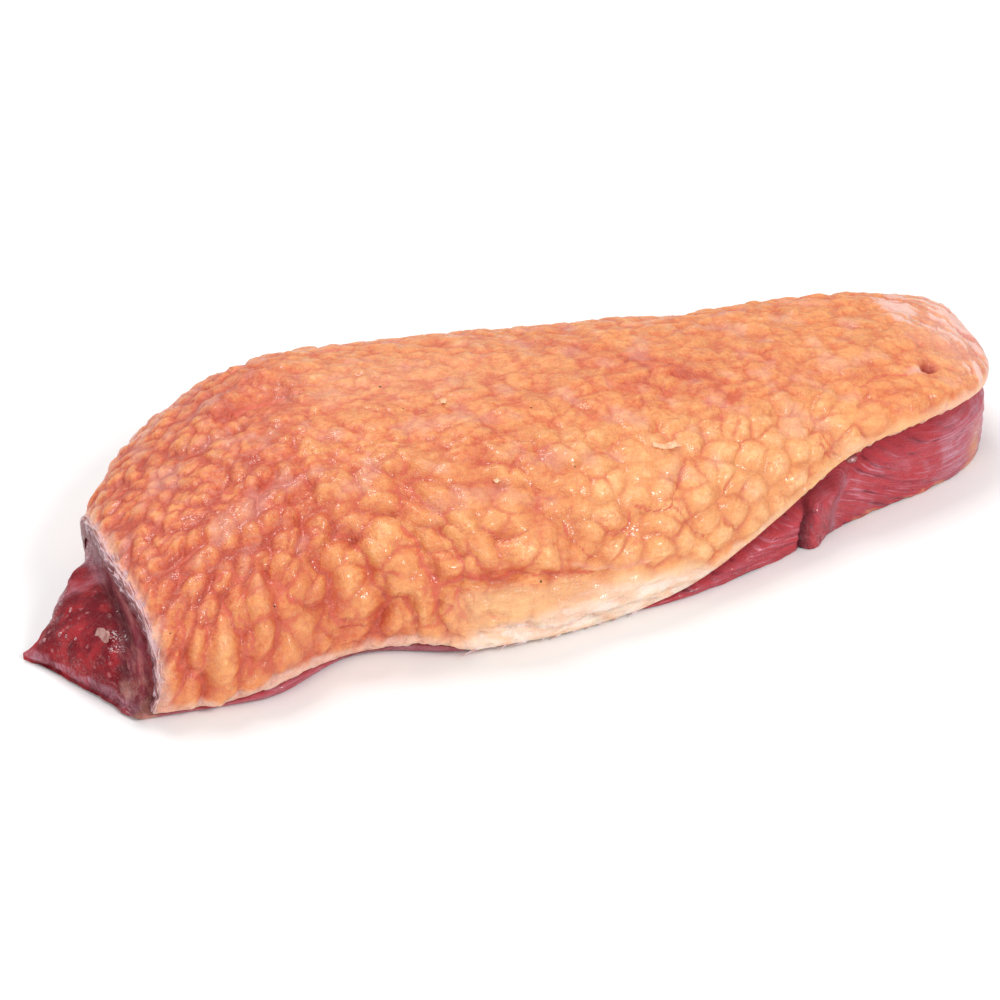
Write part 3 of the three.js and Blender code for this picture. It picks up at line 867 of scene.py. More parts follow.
CELLS = (
    Cells("pebbles", (5.0, 2.7), -58, 0.75, 0.7, 0.6, 0.8, 1.3, (-95, -38, -15, 70, 12)),
    Cells("fingers", (6.0, 9.0), 6, 1.8, 0.7, 0.9, 0.5, 1.0, (-84, -50, -70, -31, 4)),
    Cells("folds", (6.0, 5.2), -20, 1.4, 0.7, 0.7, 0.5, 1.4, (-51, -3, -52, -20, 6)),
    Cells("cobbles", (5.7, 5.0), 25, 1.35, 0.6, 0.65, 0.5, 0.9, (-6, 68, -60, -17, 9)),
    Cells("crown", (4.2, 3.0), 24, 0.4, 0.9, 0.25, 0.4, 1.6, (-50, 66, -24, 16, 14)),
    Cells("far_ridges", (4.8, 2.9), -40, 0.6, 0.9, 0.3, 0.45, 1.5, (-52, 84, 8, 70, 10)),
    Cells("blunt_end", (6.0, 3.4), -20, 0.4, 0.9, 0.25, 0.35, 1.8, (62, 92, -30, 50, 12)),
    Cells("end_arcs", (2.4, 9.0), 0, 0.3, 0.8, 0.15, 0.3, 1.6, (82, 110, -12, 50, 7)),
    Cells("beads", (4.5, 5.0), -12, 1.25, 0.75, 0.9, 0.9, 0.8, (-82, -42, -33, -13, 5)),
    Cells("hem_folds", (3.4, 6.2), 14, 1.1, 0.7, 0.75, 0.55, 1.2, (-42, -10, -68, -49, 4)),
)


@dataclass(frozen=True)
class SkinFinish:
    """Moist smoked skin: pale orange fat seen through a thin skin, with redder hollows and fine veins. The
    hollows and creases are also darkened as painted shade, the lump tops lightened as painted light, and the
    milky film is partly painted sheen.
    """

    effects: SharedEffects
    # Ramp from the reddest hollows to the yellowest lump tops: the fat's own colour and painted shade and
    # light in one.
    tones: tuple[tuple[float, str], ...] = (
        (0.0, "BA4A34"), (0.28, "D36C46"), (0.52, "E18D57"), (0.78, "EFA76B"), (1.0, "FAC48C"),
    )
    pale: str = "F6C692"
    white: str = "FBE7DA"
    # Milky film colour: partly pale tissue, partly painted sheen and highlights.
    milky: str = "EBC2B8"
    veil: str = "D0907E"
    # Red of the seams and veins; in the fold bottoms it also stands for painted shade.
    seam_red_and_crease_shade: str = "D96850"
    # Colour of the dimple's pit: partly red, partly painted shade.
    sore: str = "8E3228"
    rim_light: str = "D2B2BC"
    rim_dark: str = "7C3C42"
    roughness: float = 0.52
    coat: float = 0.2
    bump_mm: float = 0.9

    def tone(self, pad: NodePad, place: bpy.types.NodeSocket, seams: bpy.types.NodeSocket):
        """How far up the ramp of tones each place lies, 0 red to 1 yellow. It is low in the hollows and high
        on the lumps: partly the fat's own colour, partly painted shade and painted light.
        """
        cover = pad.group(self.effects.blotches, Place=place, Size=4.0, Amount=0.4).outputs[0]
        dots = pad.voronoi(place, 0.95)
        grain = pad.maths("SUBTRACT", pad.noise(place, 0.8, 4.0), 0.5)
        fine = pad.maths("SUBTRACT", pad.noise(place, 0.3, 2.0), 0.5)
        drift = pad.maths("SUBTRACT", pad.noise(place, 3.0, 2.0), 0.5)
        streaks = pad.maths("SUBTRACT", pad.noise(pad.scaled(place, (4.5, 0.8, 0.8)), 1.0, 2.0), 0.5)
        # The lump mask lifts the tone; seams, fold bottoms and dots drop it. This is partly the fat's own
        # colour and partly painted shade in the hollows and painted light on the lumps.
        return pad.summed(
            pad.maths("ADD", pad.times(pad.mask("lump"), 0.62), 0.4),
            (pad.times(grain, pad.mask("grainy")), 0.36),
            (pad.times(fine, pad.mask("grainy")), 0.45),
            (drift, 0.2),
            (streaks, 0.25),
            (dots, -0.16),
            (pad.times(cover, pad.mask("grainy")), -0.12),
            (seams, -0.25),
            # Painted shade: darker in the bottom of the fold lines.
            (self.fold_line(pad), -0.14),
            (pad.mask("flush"), -0.42),
        )

    @staticmethod
    def fold_line(pad: NodePad) -> bpy.types.NodeSocket:
        """1 in the bottom of a fold line, where the finish paints shade."""
        return pad.step(pad.mask("crease_mm"), 0.8, 0.1)

    def colour(self, pad: NodePad, place: bpy.types.NodeSocket, seams: bpy.types.NodeSocket):
        """Base colour: a tone from red in the hollows to yellow on the lumps, partly painted shade and light,
        then what lies over it.
        """
        ramp = pad.add("ShaderNodeValToRGB", {0: self.tone(pad, place, seams)})
        while len(ramp.color_ramp.elements) < len(self.tones):
            ramp.color_ramp.elements.new(0.5)
        for stop, (at, code) in zip(ramp.color_ramp.elements, self.tones):
            stop.position, stop.color = at, srgb(code)
        colour = ramp.outputs[0]
        shreds = pad.step(pad.noise(pad.scaled(place, (1.8, 1.0, 1.0)), 1.1, 4.0), 0.48, 0.68)
        colour = pad.tint(colour, srgb(self.veil), pad.times(shreds, pad.mask("veil")))
        veins = pad.group(self.effects.veins, Place=place, Size=2.6, Width=0.08).outputs[0]
        lines = pad.maths("ADD", pad.times(seams, 0.8), pad.times(self.fold_line(pad), 0.75))
        lines = pad.maths("MAXIMUM", lines, pad.times(veins, 0.45))
        cloud = pad.step(pad.noise(pad.scaled(place, (3.0, 1.0, 1.0)), 1.6, 4.0), 0.35, 0.62, 0.45, 1.0)
        # Seam and fold-line colour: the skin's own red in seams and veins, and painted shade in the fold
        # bottoms.
        colour = pad.tints(
            colour,
            (self.seam_red_and_crease_shade, lines),
            (self.pale, pad.mask("pale")),
            (self.white, pad.times(pad.mask("white"), cloud)),
            (self.seam_red_and_crease_shade, pad.times(self.fold_line(pad), 0.3)),
            # Milky film: partly pale tissue, partly painted sheen and highlights.
            (self.milky, pad.mask("film")),
            # Dimple's pit: partly red, partly painted shade.
            (self.sore, pad.mask("sore")),
        )
        return self.rim(pad, colour)

    def rim(self, pad: NodePad, colour: bpy.types.NodeSocket) -> bpy.types.NodeSocket:
        """Fibrous cut face of the skin's left edge, light above and dark by the meat."""
        lie = pad.attribute("rim_lie").outputs["Vector"]
        depth = pad.add("ShaderNodeSeparateXYZ", {0: lie}).outputs[1]
        strands = pad.noise(lie, 1.0, 4.0)
        dark = pad.step(pad.maths("ADD", pad.times(depth, 0.018), strands), 0.47, 0.58)
        face = pad.tint(srgb(self.rim_light), srgb(self.rim_dark), dark)
        return pad.tint(colour, face, pad.mask("rim"))

    @staticmethod
    def seam(pad: NodePad, cells: Cells) -> bpy.types.NodeSocket:
        """Thin line between the lumps of one field; the field's third coordinate is how strongly it shows."""
        lie = pad.attribute(cells.name).outputs["Vector"]
        distance = pattern_node(pad.tree, Pattern.SEAMS)
        pad.tree.links.new(lie, distance.node.inputs["Vector"])
        strength = pad.add("ShaderNodeSeparateXYZ", {0: lie}).outputs[2]
        broken = pad.step(pad.noise(lie, 1.1, 3.0), 0.4, 0.62)
        return pad.times(pad.step(distance, 0.13, 0.0), strength, broken, cells.line)

    def material(self) -> bpy.types.Material:
        """The material, with relief too fine for the mesh as bump."""
        material, pad, shader = new_material("smoked_skin")
        place = pad.place()
        seams = self.seam(pad, CELLS[0])
        for cells in CELLS[1:]:
            seams = pad.maths("ADD", seams, self.seam(pad, cells))
        wet = pad.group(self.effects.wetness, Place=place, Cover=pad.mask("wet"))
        height = pad.summed(
            wet.outputs["Height"],
            (pad.times(pad.noise(place, 1.2, 4.0), pad.mask("grainy")), 0.42),
            (pad.times(pad.noise(place, 0.4, 2.0), pad.mask("grainy")), 0.14),
            (pad.times(pad.voronoi(place, 0.8), pad.mask("grainy")), -0.2),
            (pad.noise(pad.scaled(place, (4.0, 0.7, 0.7)), 1.0, 2.0), 0.2),
            (seams, -0.22),
        )
        drops = wet.outputs["Drops"]
        inputs = {
            "Base Color": self.colour(pad, place, seams),
            "Normal": pad.bump(height, 0.8, self.bump_mm),
            "Roughness": pad.step(drops, 0.0, 1.0, self.roughness, 0.4),
            "Coat Weight": pad.step(drops, 0.0, 1.0, self.coat * 0.3, self.coat * 5),
            "Coat Roughness": 0.12,
            "Subsurface Weight": 0.3,
            "Subsurface Radius": (1.0, 0.4, 0.22),
            "Subsurface Scale": 0.0022,
            "IOR": 1.42,
        }
        pad.feed(shader, inputs)
        return material


class Host:
    """A piece that scraps lie on. Its `lie` holds each vertex's point and outward normal, and more."""

    lie: dict[str, Array]

    def seat_seen(self, view: PhotoView, pixel: tuple[int, int]) -> tuple[Array, Array]:
        """Point of the piece that shows at a pixel of the photo, and its outward normal."""
        points, normals = self.lie["points"], self.lie["normal"]
        hidden = ~view.facing(points, normals) | (self.lie.get("depth", np.zeros(len(points))) > 0)
        i = np.argmin(np.linalg.norm(view.pixels(points) - pixel, axis=1) + HIDDEN_PENALTY * hidden)
        return points[i], normals[i]


@dataclass
class Skin(Host):
    """The skin and its fat, one closed body that bends over the meat and ends in a rounded rim."""

    form: BreastForm
    chart: SkinChart
    finish: SkinFinish
    rows: int = 84
    columns: int = 40
    cuts: int = 4
    gap: float = 0.15
    rim_bulge: float = 0.9
    rim_fade: float = 1.1
    nose_fade: float = 0.035
    least_height: float = 0.5
    lie: dict[str, Array] = field(default_factory=dict)

    def block(self) -> bmesh.types.BMesh:
        """Flat block one unit deep, its top and rim cut fine and its underside left coarse."""
        bm = bmesh.new()
        bmesh.ops.create_grid(bm, x_segments=self.rows, y_segments=self.columns, size=0.5)
        pulled = bmesh.ops.extrude_face_region(bm, geom=bm.faces[:])["geom"]
        under = [item for item in pulled if isinstance(item, bmesh.types.BMVert)]
        bmesh.ops.translate(bm, verts=under, vec=(0.0, 0.0, -1.0))
        bm.normal_update()

        def inner(edge: bmesh.types.BMEdge) -> bool:
            """Whether an edge lies inside the underside."""
            low = all(vert.co.z < -0.5 for vert in edge.verts)
            return low and all(abs(face.normal.z) > 0.5 for face in edge.link_faces)

        fine = [edge for edge in bm.edges if not inner(edge)]
        bmesh.ops.subdivide_edges(bm, edges=fine, cuts=self.cuts, use_grid_fill=True)
        return bm

    def places(self, block: Array) -> None:
        """Works out where each vertex of the block lies on the skin.

        Args:
            block: the vertices' places in the flat block.
        """
        rows, columns = self.rows * (self.cuts + 1), self.columns * (self.cuts + 1)
        x, angle, across, edge = self.form.skin_rows(np.linspace(0, 1, rows + 1), columns)
        i = np.clip(np.rint((block[:, 0] + 0.5) * rows).astype(int), 0, rows)
        j = np.clip(np.rint((block[:, 1] + 0.5) * columns).astype(int), 0, columns)
        self.lie = {
            "row": i / rows,
            "column": j / columns,
            "depth": -block[:, 2],
            "x": x[i, j],
            "angle": angle[i, j],
            "across": across[i, j],
            "left": x[i, j] - x[0, j],
            "side": edge[i, j],
        }
        self.lie["edge"] = np.minimum(self.lie["left"], self.lie["side"])

    def relief(self) -> Array:
        """Height of the skin's relief at each vertex. Keeps the masks that the finish reads."""
        x, across = self.lie["x"], self.lie["across"]
        height = 0.45 * clouds(x, across, 14, 1) + 0.2 * clouds(x, across, 6, 2)
        puckers = clouds(x, across, 2.6, 61) * window(across, -60, -16, 10) * window(x, -90, 0, 12)
        at_hem = smooth((4.2 - self.lie["side"]) / 2) * smooth((-8 - x) / 12) * (across < 0)
        hem = at_hem * (clouds(x, across / 2, 1.5, 62) + 0.6 * clouds(x / 3, across, 1.2, 63))
        height += 0.16 * puckers + 0.34 * hem
        lumpiness, total = np.zeros_like(x), np.full_like(x, 1e-3)
        band = self.band(x, across)
        open_skin = 1 - band * mix(0.3, 0.95, smooth((x + 14) / 14))
        for seed, cells in enumerate(CELLS, start=3):
            u, v = cells.field(x, across, seed)
            share = cells.share(x, across) * (0.8 + 0.3 * clouds(x, across, 9, seed)) * open_skin
            self.lie[cells.name] = np.stack([u, v, share], -1)
            lump = cells.lumps(u, v)
            height += cells.height * share * (lump - 0.5)
            lumpiness += share * mix(0.62, lump, cells.tone)
            total += share
        lobes = np.zeros_like(x)
        for lump in LUMPS:
            lobes += lump.rise * spot(x, across, lump.place, lump.reach)
        height += 1.15 * lobes
        wrinkles = 0.3 * clouds(x / 5, across, 1.6, 41) + 0.25 * clouds(x / 3, across, 4, 42)
        nearest, swell, lift = self.creases(x, across)
        # Tone drops beside the creases: painted shade.
        lumpiness = np.where(total > 0.02, lumpiness / total, 0.62) * mix(1.0, swell, 0.27)
        lobed = window(x, -78, -4, 5) * smooth((-30 - across) / 4)
        # The lump mask drives the colour: lighter on lumps, lobes and wrinkles, darker between them; partly
        # the fat's own colour, partly painted light and shade.
        self.lie["lump"] = lumpiness + band * wrinkles + 0.28 * (np.minimum(lobes, 1.4) - 0.25) * lobed
        self.lie["lump"] += 0.12 * puckers + 0.22 * hem
        self.lie["strand"], self.lie["strand_edge"] = self.strands(x, across)
        self.lie["crease_mm"] = nearest
        self.lie["band"] = band
        height += 1.6 * band * wrinkles + 0.75 * lift + 1.9 * (swell - 1)
        height += 0.42 * self.lie["strand"]
        rim_drop = mix(1.5, 0.3, smooth((across - 1) / 6))
        height -= rim_drop * (1 - smooth(self.lie["left"] / 2.8 + 0.15 * clouds(x, across, 3, 43)))
        return height * self.fade()

    def creases(self, x: Array, across: Array) -> tuple[Array, Array, Array]:
        """Reads the fold lines.

        Args:
            x, across: the places.

        Returns:
            Distance from the nearest fold line, larger for shallow ones; how far the skin swells beside it,
            0 in the line; and how far one side is lifted over the other.
        """
        pulled_x = x + 0.6 * clouds(x, across, 4, 11) + 0.25 * clouds(x, across, 1.5, 13)
        pulled = across + 0.6 * clouds(x, across, 4, 12) + 0.25 * clouds(x, across, 1.5, 14)
        nearest, swell, lift = np.full_like(x, 6.0), np.ones_like(x), np.zeros_like(x)
        for crease in CREASES:
            d, side = path_distance(pulled_x, pulled, self.chart.path(crease.path))
            nearest = np.minimum(nearest, d / crease.deep)
            groove = 0.5 * np.exp(-((d / 1.3) ** 2)) + 0.5 * np.exp(-d / 3.2)
            swell = np.minimum(swell, 1 - crease.deep * groove)
            lift += crease.lean * side * np.tanh(d / 0.8) * np.exp(-d / 2.6)
        return nearest, swell, lift

    def strands(self, x: Array, across: Array) -> tuple[Array, Array]:
        """Masks of the raised lines of pale tissue, and of the troughs between the blunt end's arcs, darkened
        partly as red and partly as painted shade.
        """
        pulled_x = x + 0.5 * clouds(x, across, 3, 15)
        nearest = np.full_like(x, 9.0)
        for path in STRANDS:
            nearest = np.minimum(nearest, path_distance(pulled_x, across, self.chart.path(path))[0])
        lines = np.exp(-((nearest / 0.48) ** 2)) * smooth(0.85 + 0.6 * clouds(x, across, 2.5, 16))
        around, turn = np.hypot(x - 64, across + 14), np.arctan2(across + 14, x - 64)
        tissue = clouds(around + 0.5 * clouds(x, across, 4, 46), 30 * turn / 9, 1.2, 47)
        nose = smooth((around - 25 - 2.5 * clouds(x, across, 5, 48)) / 4)
        nose = nose * smooth((x - 80) / 6) * window(across, -21, 16, 6)
        arcs = 0.85 * smooth((tissue - 0.04) / 0.22) * nose
        return np.maximum(lines, arcs), 0.22 * nose * smooth((-tissue - 0.05) / 0.2)

    def band(self, x: Array, across: Array) -> Array:
        """Where the smooth fat below the folds lies."""
        return window(x, -25, 34, 9) * smooth((-across - 47.5 + 1.5 * clouds(x, across, 9, 4)) / 2.5)

    def fade(self) -> Array:
        """1 on the open skin, falling to 0 at the rim and the blunt end's pole."""
        roll = 2.2 * smooth((self.lie["x"] - 62) / 10) * (self.lie["across"] < 0)
        at_rim = smooth(self.lie["edge"] / (self.rim_fade + roll) + 0.2)
        return at_rim * smooth((1 - self.lie["row"]) / self.nose_fade)

    def points(self) -> Array:
        """Where each vertex goes, in the form's millimetres."""
        x, angle, depth = self.lie["x"], self.lie["angle"], self.lie["depth"]
        form = self.form
        self.lie["normal"] = form.normal(form.outer, x, angle)
        top = form.outer(x, angle) + self.lie["normal"] * self.relief()[:, None]
        open_end = smooth((1 - self.lie["row"]) / 0.06)
        lift = (self.gap * (2 - open_end))[:, None]
        under = form.under_skin(x, angle) + form.normal(form.under_skin, x, angle) * lift
        side = np.zeros_like(top)
        side[self.lie["row"] == 0] = (-1, 0, 0)
        for column, step in ((0, -0.05), (1, 0.05)):
            at = self.lie["column"] == column
            outward = form.outer(x, angle + step) - form.outer(x, angle)
            length = np.maximum(np.linalg.norm(outward, axis=-1, keepdims=True), 1e-9)
            side[at] += (outward / length)[at]
        side /= np.maximum(np.linalg.norm(side, axis=-1, keepdims=True), 1e-9)
        round_rim = np.sqrt(np.clip(1 - (2 * depth - 1) ** 2, 0, 1))
        rough = mix(1.0, 0.45, smooth((x + 30) / 20)) + 0.5 * smooth((x - 55) / 10)
        ripple = 1 + rough * clouds(x + self.lie["across"], 4 * depth, 2.4, 51)
        ripple += 0.3 * clouds(x, 2 * depth, 6, 52)
        at_left = mix(mix(0.55, 0.15, smooth((self.lie["across"] - 1) / 6)), 1.0, smooth((x + 81) / 4))
        bulge = self.rim_bulge * at_left * open_end * round_rim * ripple
        points = mix(top, under, depth[:, None]) + side * bulge[:, None]
        points[:, 2] = np.maximum(points[:, 2], self.least_height)
        return points

    def masks(self) -> dict[str, Array]:
        """Masks for the finish. Keeps how the fibres of the left edge lie."""
        x, across, edge, depth = (self.lie[name] for name in ("x", "across", "edge", "depth"))
        drift = clouds(x, across, 11, 21)
        flush = 0.78 * smooth((-24 - x + 6 * drift) / 26)
        flush = np.maximum(flush, 0.36 * window(across, -34, 8, 14) * window(x, -60, 62, 20))
        flush = flush - 0.25 * window(x, -80, -45, 12) * window(across, -60, -30, 8)
        flush = np.maximum(flush, 0.14 * window(x, -56, -2, 10) * window(across, -52, -20, 8))
        flush = np.maximum(flush, 0.3 * smooth((across - 5) / 15))
        flush = np.maximum(flush, 0.2) - 0.05 * window(x, -84, 0, 12) * window(across, -60, -18, 10)
        stripe, _ = path_distance(x, across, self.chart.path(RED_STRIPE))
        stripe = np.exp(-((stripe / 4.5) ** 2))
        # Darker in the troughs between the blunt end's arcs: partly red, partly painted shade.
        flush = flush + 0.08 * drift + 0.4 * stripe + self.lie["strand_edge"]
        right = window(x, 2, 66, 12) * window(across, -50, -17, 8)
        flush = flush * (1 - 0.8 * right) - 0.32 * right
        # Darker in the dimple's pit: partly red, partly painted shade.
        flush += 1.8 * spot(x, across, DIMPLE, (1.5, 1.3))
        flush += 0.5 * smooth((x - 96) / 2) * smooth((across + 12) / 6)
        below = smooth((-across - 47.5) / 5) * self.lie["band"]
        near_lip = smooth((-across - 10) / 8) * smooth((x - 5) / 20)
        rim = smooth((2.6 - edge + 0.8 * clouds(x, across, 4, 22)) / 2.2)
        pale = np.maximum(rim * mix(0.3, 0.6, near_lip), 0.6 * self.lie["band"])
        pale = np.maximum(pale, smooth(depth * 5))
        white = 0.9 * below * mix(smooth((-across - 51 + 0.2 * x) / 5), 1.0, smooth((x + 2) / 14))
        white = np.maximum(white, 0.38 * rim * window(x, -78, 44, 14) * (across < 0))
        white = np.maximum(white, 0.7 * smooth(depth * 5) * smooth((x + 70) / 8))
        # The milky film is partly pale tissue and partly painted sheen and highlights: along the far edge and
        # the left outline, on the blunt end's raised arcs, on the hem and on the scar by the dimple.
        film = 0.2 * smooth((clouds(x, across, 7, 31) - 0.1) / 0.8) * window(across, -34, 60, 20)
        film = np.maximum(film, 0.4 * rim * np.maximum(smooth((x - 76) / 8), smooth((-24 - x) / 12)))
        for centre, reach, share in (
            ((-22, 8), (24, 10), 0.1),
            ((60, 38), (25, 6), 0.3),
            ((-18, 40), (60, 10), 0.25),
            ((80, -14.3), (2.2, 0.9), 0.6),
            ((96, -4), (9, 14), 0.4),
        ):
            film = np.maximum(film, share * spot(x, across, centre, reach))
        film = np.maximum(film, mix(0.28, 1.0, smooth((x - 40) / 30)) * self.lie["strand"])
        hem = clouds(x / 6, across, 0.8, 45) * smooth((-48 - x) / 15) * smooth((across - 24) / 8)
        film = np.maximum(film, 0.7 * smooth((hem - 0.1) / 0.4))
        veil = np.maximum(0.32 * smooth((-34 - x) / 16) * smooth((across + 34) / 12), 0.14)
        veil = np.maximum(veil, 0.4 * smooth((x - 84) / 6) * smooth((across + 22) / 8))
        self.lie["rim_lie"] = np.stack([across / 3.5, depth * 16 - self.lie["left"] * 4, x / 0.5], -1)
        left_face = smooth((depth - 0.02) * 8) * smooth((-74 - x) / 6)
        frayed = self.lie["left"] + 0.5 * clouds(x, across, 2.2, 44)
        frayed = 0.8 * smooth((1.0 - frayed) / 0.7) * mix(0.6, 1.0, smooth((across + 34) / 8))
        left_face = np.maximum(left_face, frayed)
        wet = 0.48 + 0.52 * window(x, -84, 60, 20) * window(across, -58, -18, 10)
        pebbled = smooth((-36 - x) / 14) * smooth((across + 37) / 6)
        return {
            "flush": np.clip(flush, -0.4, 1.9),
            "pale": pale,
            "white": white,
            "film": film * (1 - smooth(depth * 5)),
            "veil": veil,
            "grainy": mix(0.72, 1.0, np.maximum(pebbled, window(across, -24, 70, 8))),
            "rim": left_face,
            "wet": wet,
            # Pit colour of the dimple: partly red, partly painted shade.
            "sore": 0.9 * spot(x, across, DIMPLE, (1.2, 0.9)),
        }

    def seat(self, at: tuple[float, float]) -> tuple[Array, Array]:
        """Point of the skin and its outward normal at a place given as along and across."""
        away = np.hypot(self.lie["x"] - at[0], self.lie["across"] - at[1]) + 99 * (self.lie["depth"] > 0)
        i = np.argmin(away)
        return self.lie["points"][i], self.lie["normal"][i]

    def build(self) -> bpy.types.Object:
        """Makes the piece."""
        bm = self.block()
        self.places(spots_of(bm))
        self.lie["points"] = self.points()
        move_to(bm, self.lie["points"])
        masks = self.masks() | {name: self.lie[name] for name in ("lump", "crease_mm")}
        vectors = {name: self.lie[name] for name in ("rim_lie", *(cells.name for cells in CELLS))}
        skin = body(bm, "skin", masks, vectors, self.finish)
        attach(skin, "root")
        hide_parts("skin_and_fat")
        return skin


# The lean meat


@dataclass(frozen=True)
class LeanFinish:
    """Wet cured lean: fibres along the walls, silverskin, and traces of fat at its edges, with painted shade
    in the flap's groove and the bare end's crevice.
    """

    effects: SharedEffects
    lean: str = "AC424D"
    bright: str = "BC444B"
    # Dark red of the fibre gaps; also painted shade in the flap's groove and the bare end's crevice.
    dark: str = "4E1620"
    purple: str = "7C343F"
    strand: str = "A0605F"
    facet_lean: str = "741520"
    facet_bright: str = "A62B31"
    milky: str = "C98486"
    silver: str = "C58C9C"
    streak: str = "D490A0"
    fat: str = "EDAF7C"
    roughness: float = 0.55

    def colour(self, pad: NodePad, place: bpy.types.NodeSocket) -> bpy.types.NodeSocket:
        """Base colour of the meat."""
        fibres = pad.attribute("fibres").outputs["Vector"]
        long = pad.noise(fibres, 1.0, 3.0)
        fine = pad.noise(pad.scaled(fibres, (1.0, 0.4, 1.0)), 1.0, 2.0)
        colour = pad.tint(srgb(self.lean), srgb(self.bright), pad.step(long, 0.35, 0.7))
        mottle = pad.step(pad.noise(place, 5.0, 3.0), 0.4, 0.65)
        facet = pad.tint(srgb(self.facet_lean), srgb(self.facet_bright), mottle)
        beads = pad.step(pad.voronoi(place, 0.62), 0.4, 0.2, 0.0, 0.7)
        clots = pad.times(beads, pad.step(pad.noise(place, 3.0, 2.0), 0.44, 0.56))
        facet = pad.tint(facet, srgb(self.milky), pad.times(clots, pad.mask("clots")))
        colour = pad.tint(colour, facet, pad.mask("end"))
        patches = pad.step(pad.noise(place, 6.0, 2.0), 0.4, 0.6, 0.25, 1.0)
        streaks = pad.times(pad.step(fine, 0.52, 0.72), patches, pad.mask("wall"), 0.6)
        colour = pad.tint(colour, srgb(self.streak), streaks)
        colour = pad.tint(colour, srgb(self.dark), pad.times(pad.step(long, 0.42, 0.28), 0.55))
        strands = pad.step(pad.noise(pad.scaled(place, (0.7, 3.5, 2.0)), 1.0, 4.0), 0.42, 0.68)
        colour = pad.tint(colour, pad.tint(srgb(self.purple), srgb(self.strand), strands), pad.mask("purple"))
        blotch = pad.group(self.effects.blotches, Place=place, Size=3.0, Amount=0.5).outputs[0]
        threads = pad.step(fine, 0.38, 0.62, 0.35, 1.0)
        film = pad.times(pad.mask("silver"), threads, pad.step(blotch, 0.0, 1.0, 0.6, 1.0))
        # The last layer darkens the groove and crevice: painted shade.
        fat, dark = (self.fat, pad.mask("fat")), (self.dark, pad.mask("dark"))
        return pad.tints(colour, (self.silver, film), fat, dark)

    def material(self) -> bpy.types.Material:
        """The material."""
        material, pad, shader = new_material("cured_lean")
        place = pad.place()
        wet = pad.group(self.effects.wetness, Place=place, Cover=0.75)
        fibres = pad.noise(pad.attribute("fibres").outputs["Vector"], 0.6, 2.0)
        drops = wet.outputs["Drops"]
        inputs = {
            "Base Color": self.colour(pad, place),
            "Normal": pad.bump(pad.summed(wet.outputs["Height"], (fibres, 0.35)), 0.8, 0.9),
            "Roughness": pad.step(drops, 0.0, 1.0, self.roughness, 0.25),
            "Coat Weight": pad.step(drops, 0.0, 1.0, 0.04, 1.0),
            "Coat Roughness": 0.1,
            "IOR": 1.36,
            "Specular IOR Level": 0.15,
            "Subsurface Weight": 0.15,
            "Subsurface Radius": (1.0, 0.25, 0.2),
            "Subsurface Scale": 0.002,
        }
        pad.feed(shader, inputs)
        return material


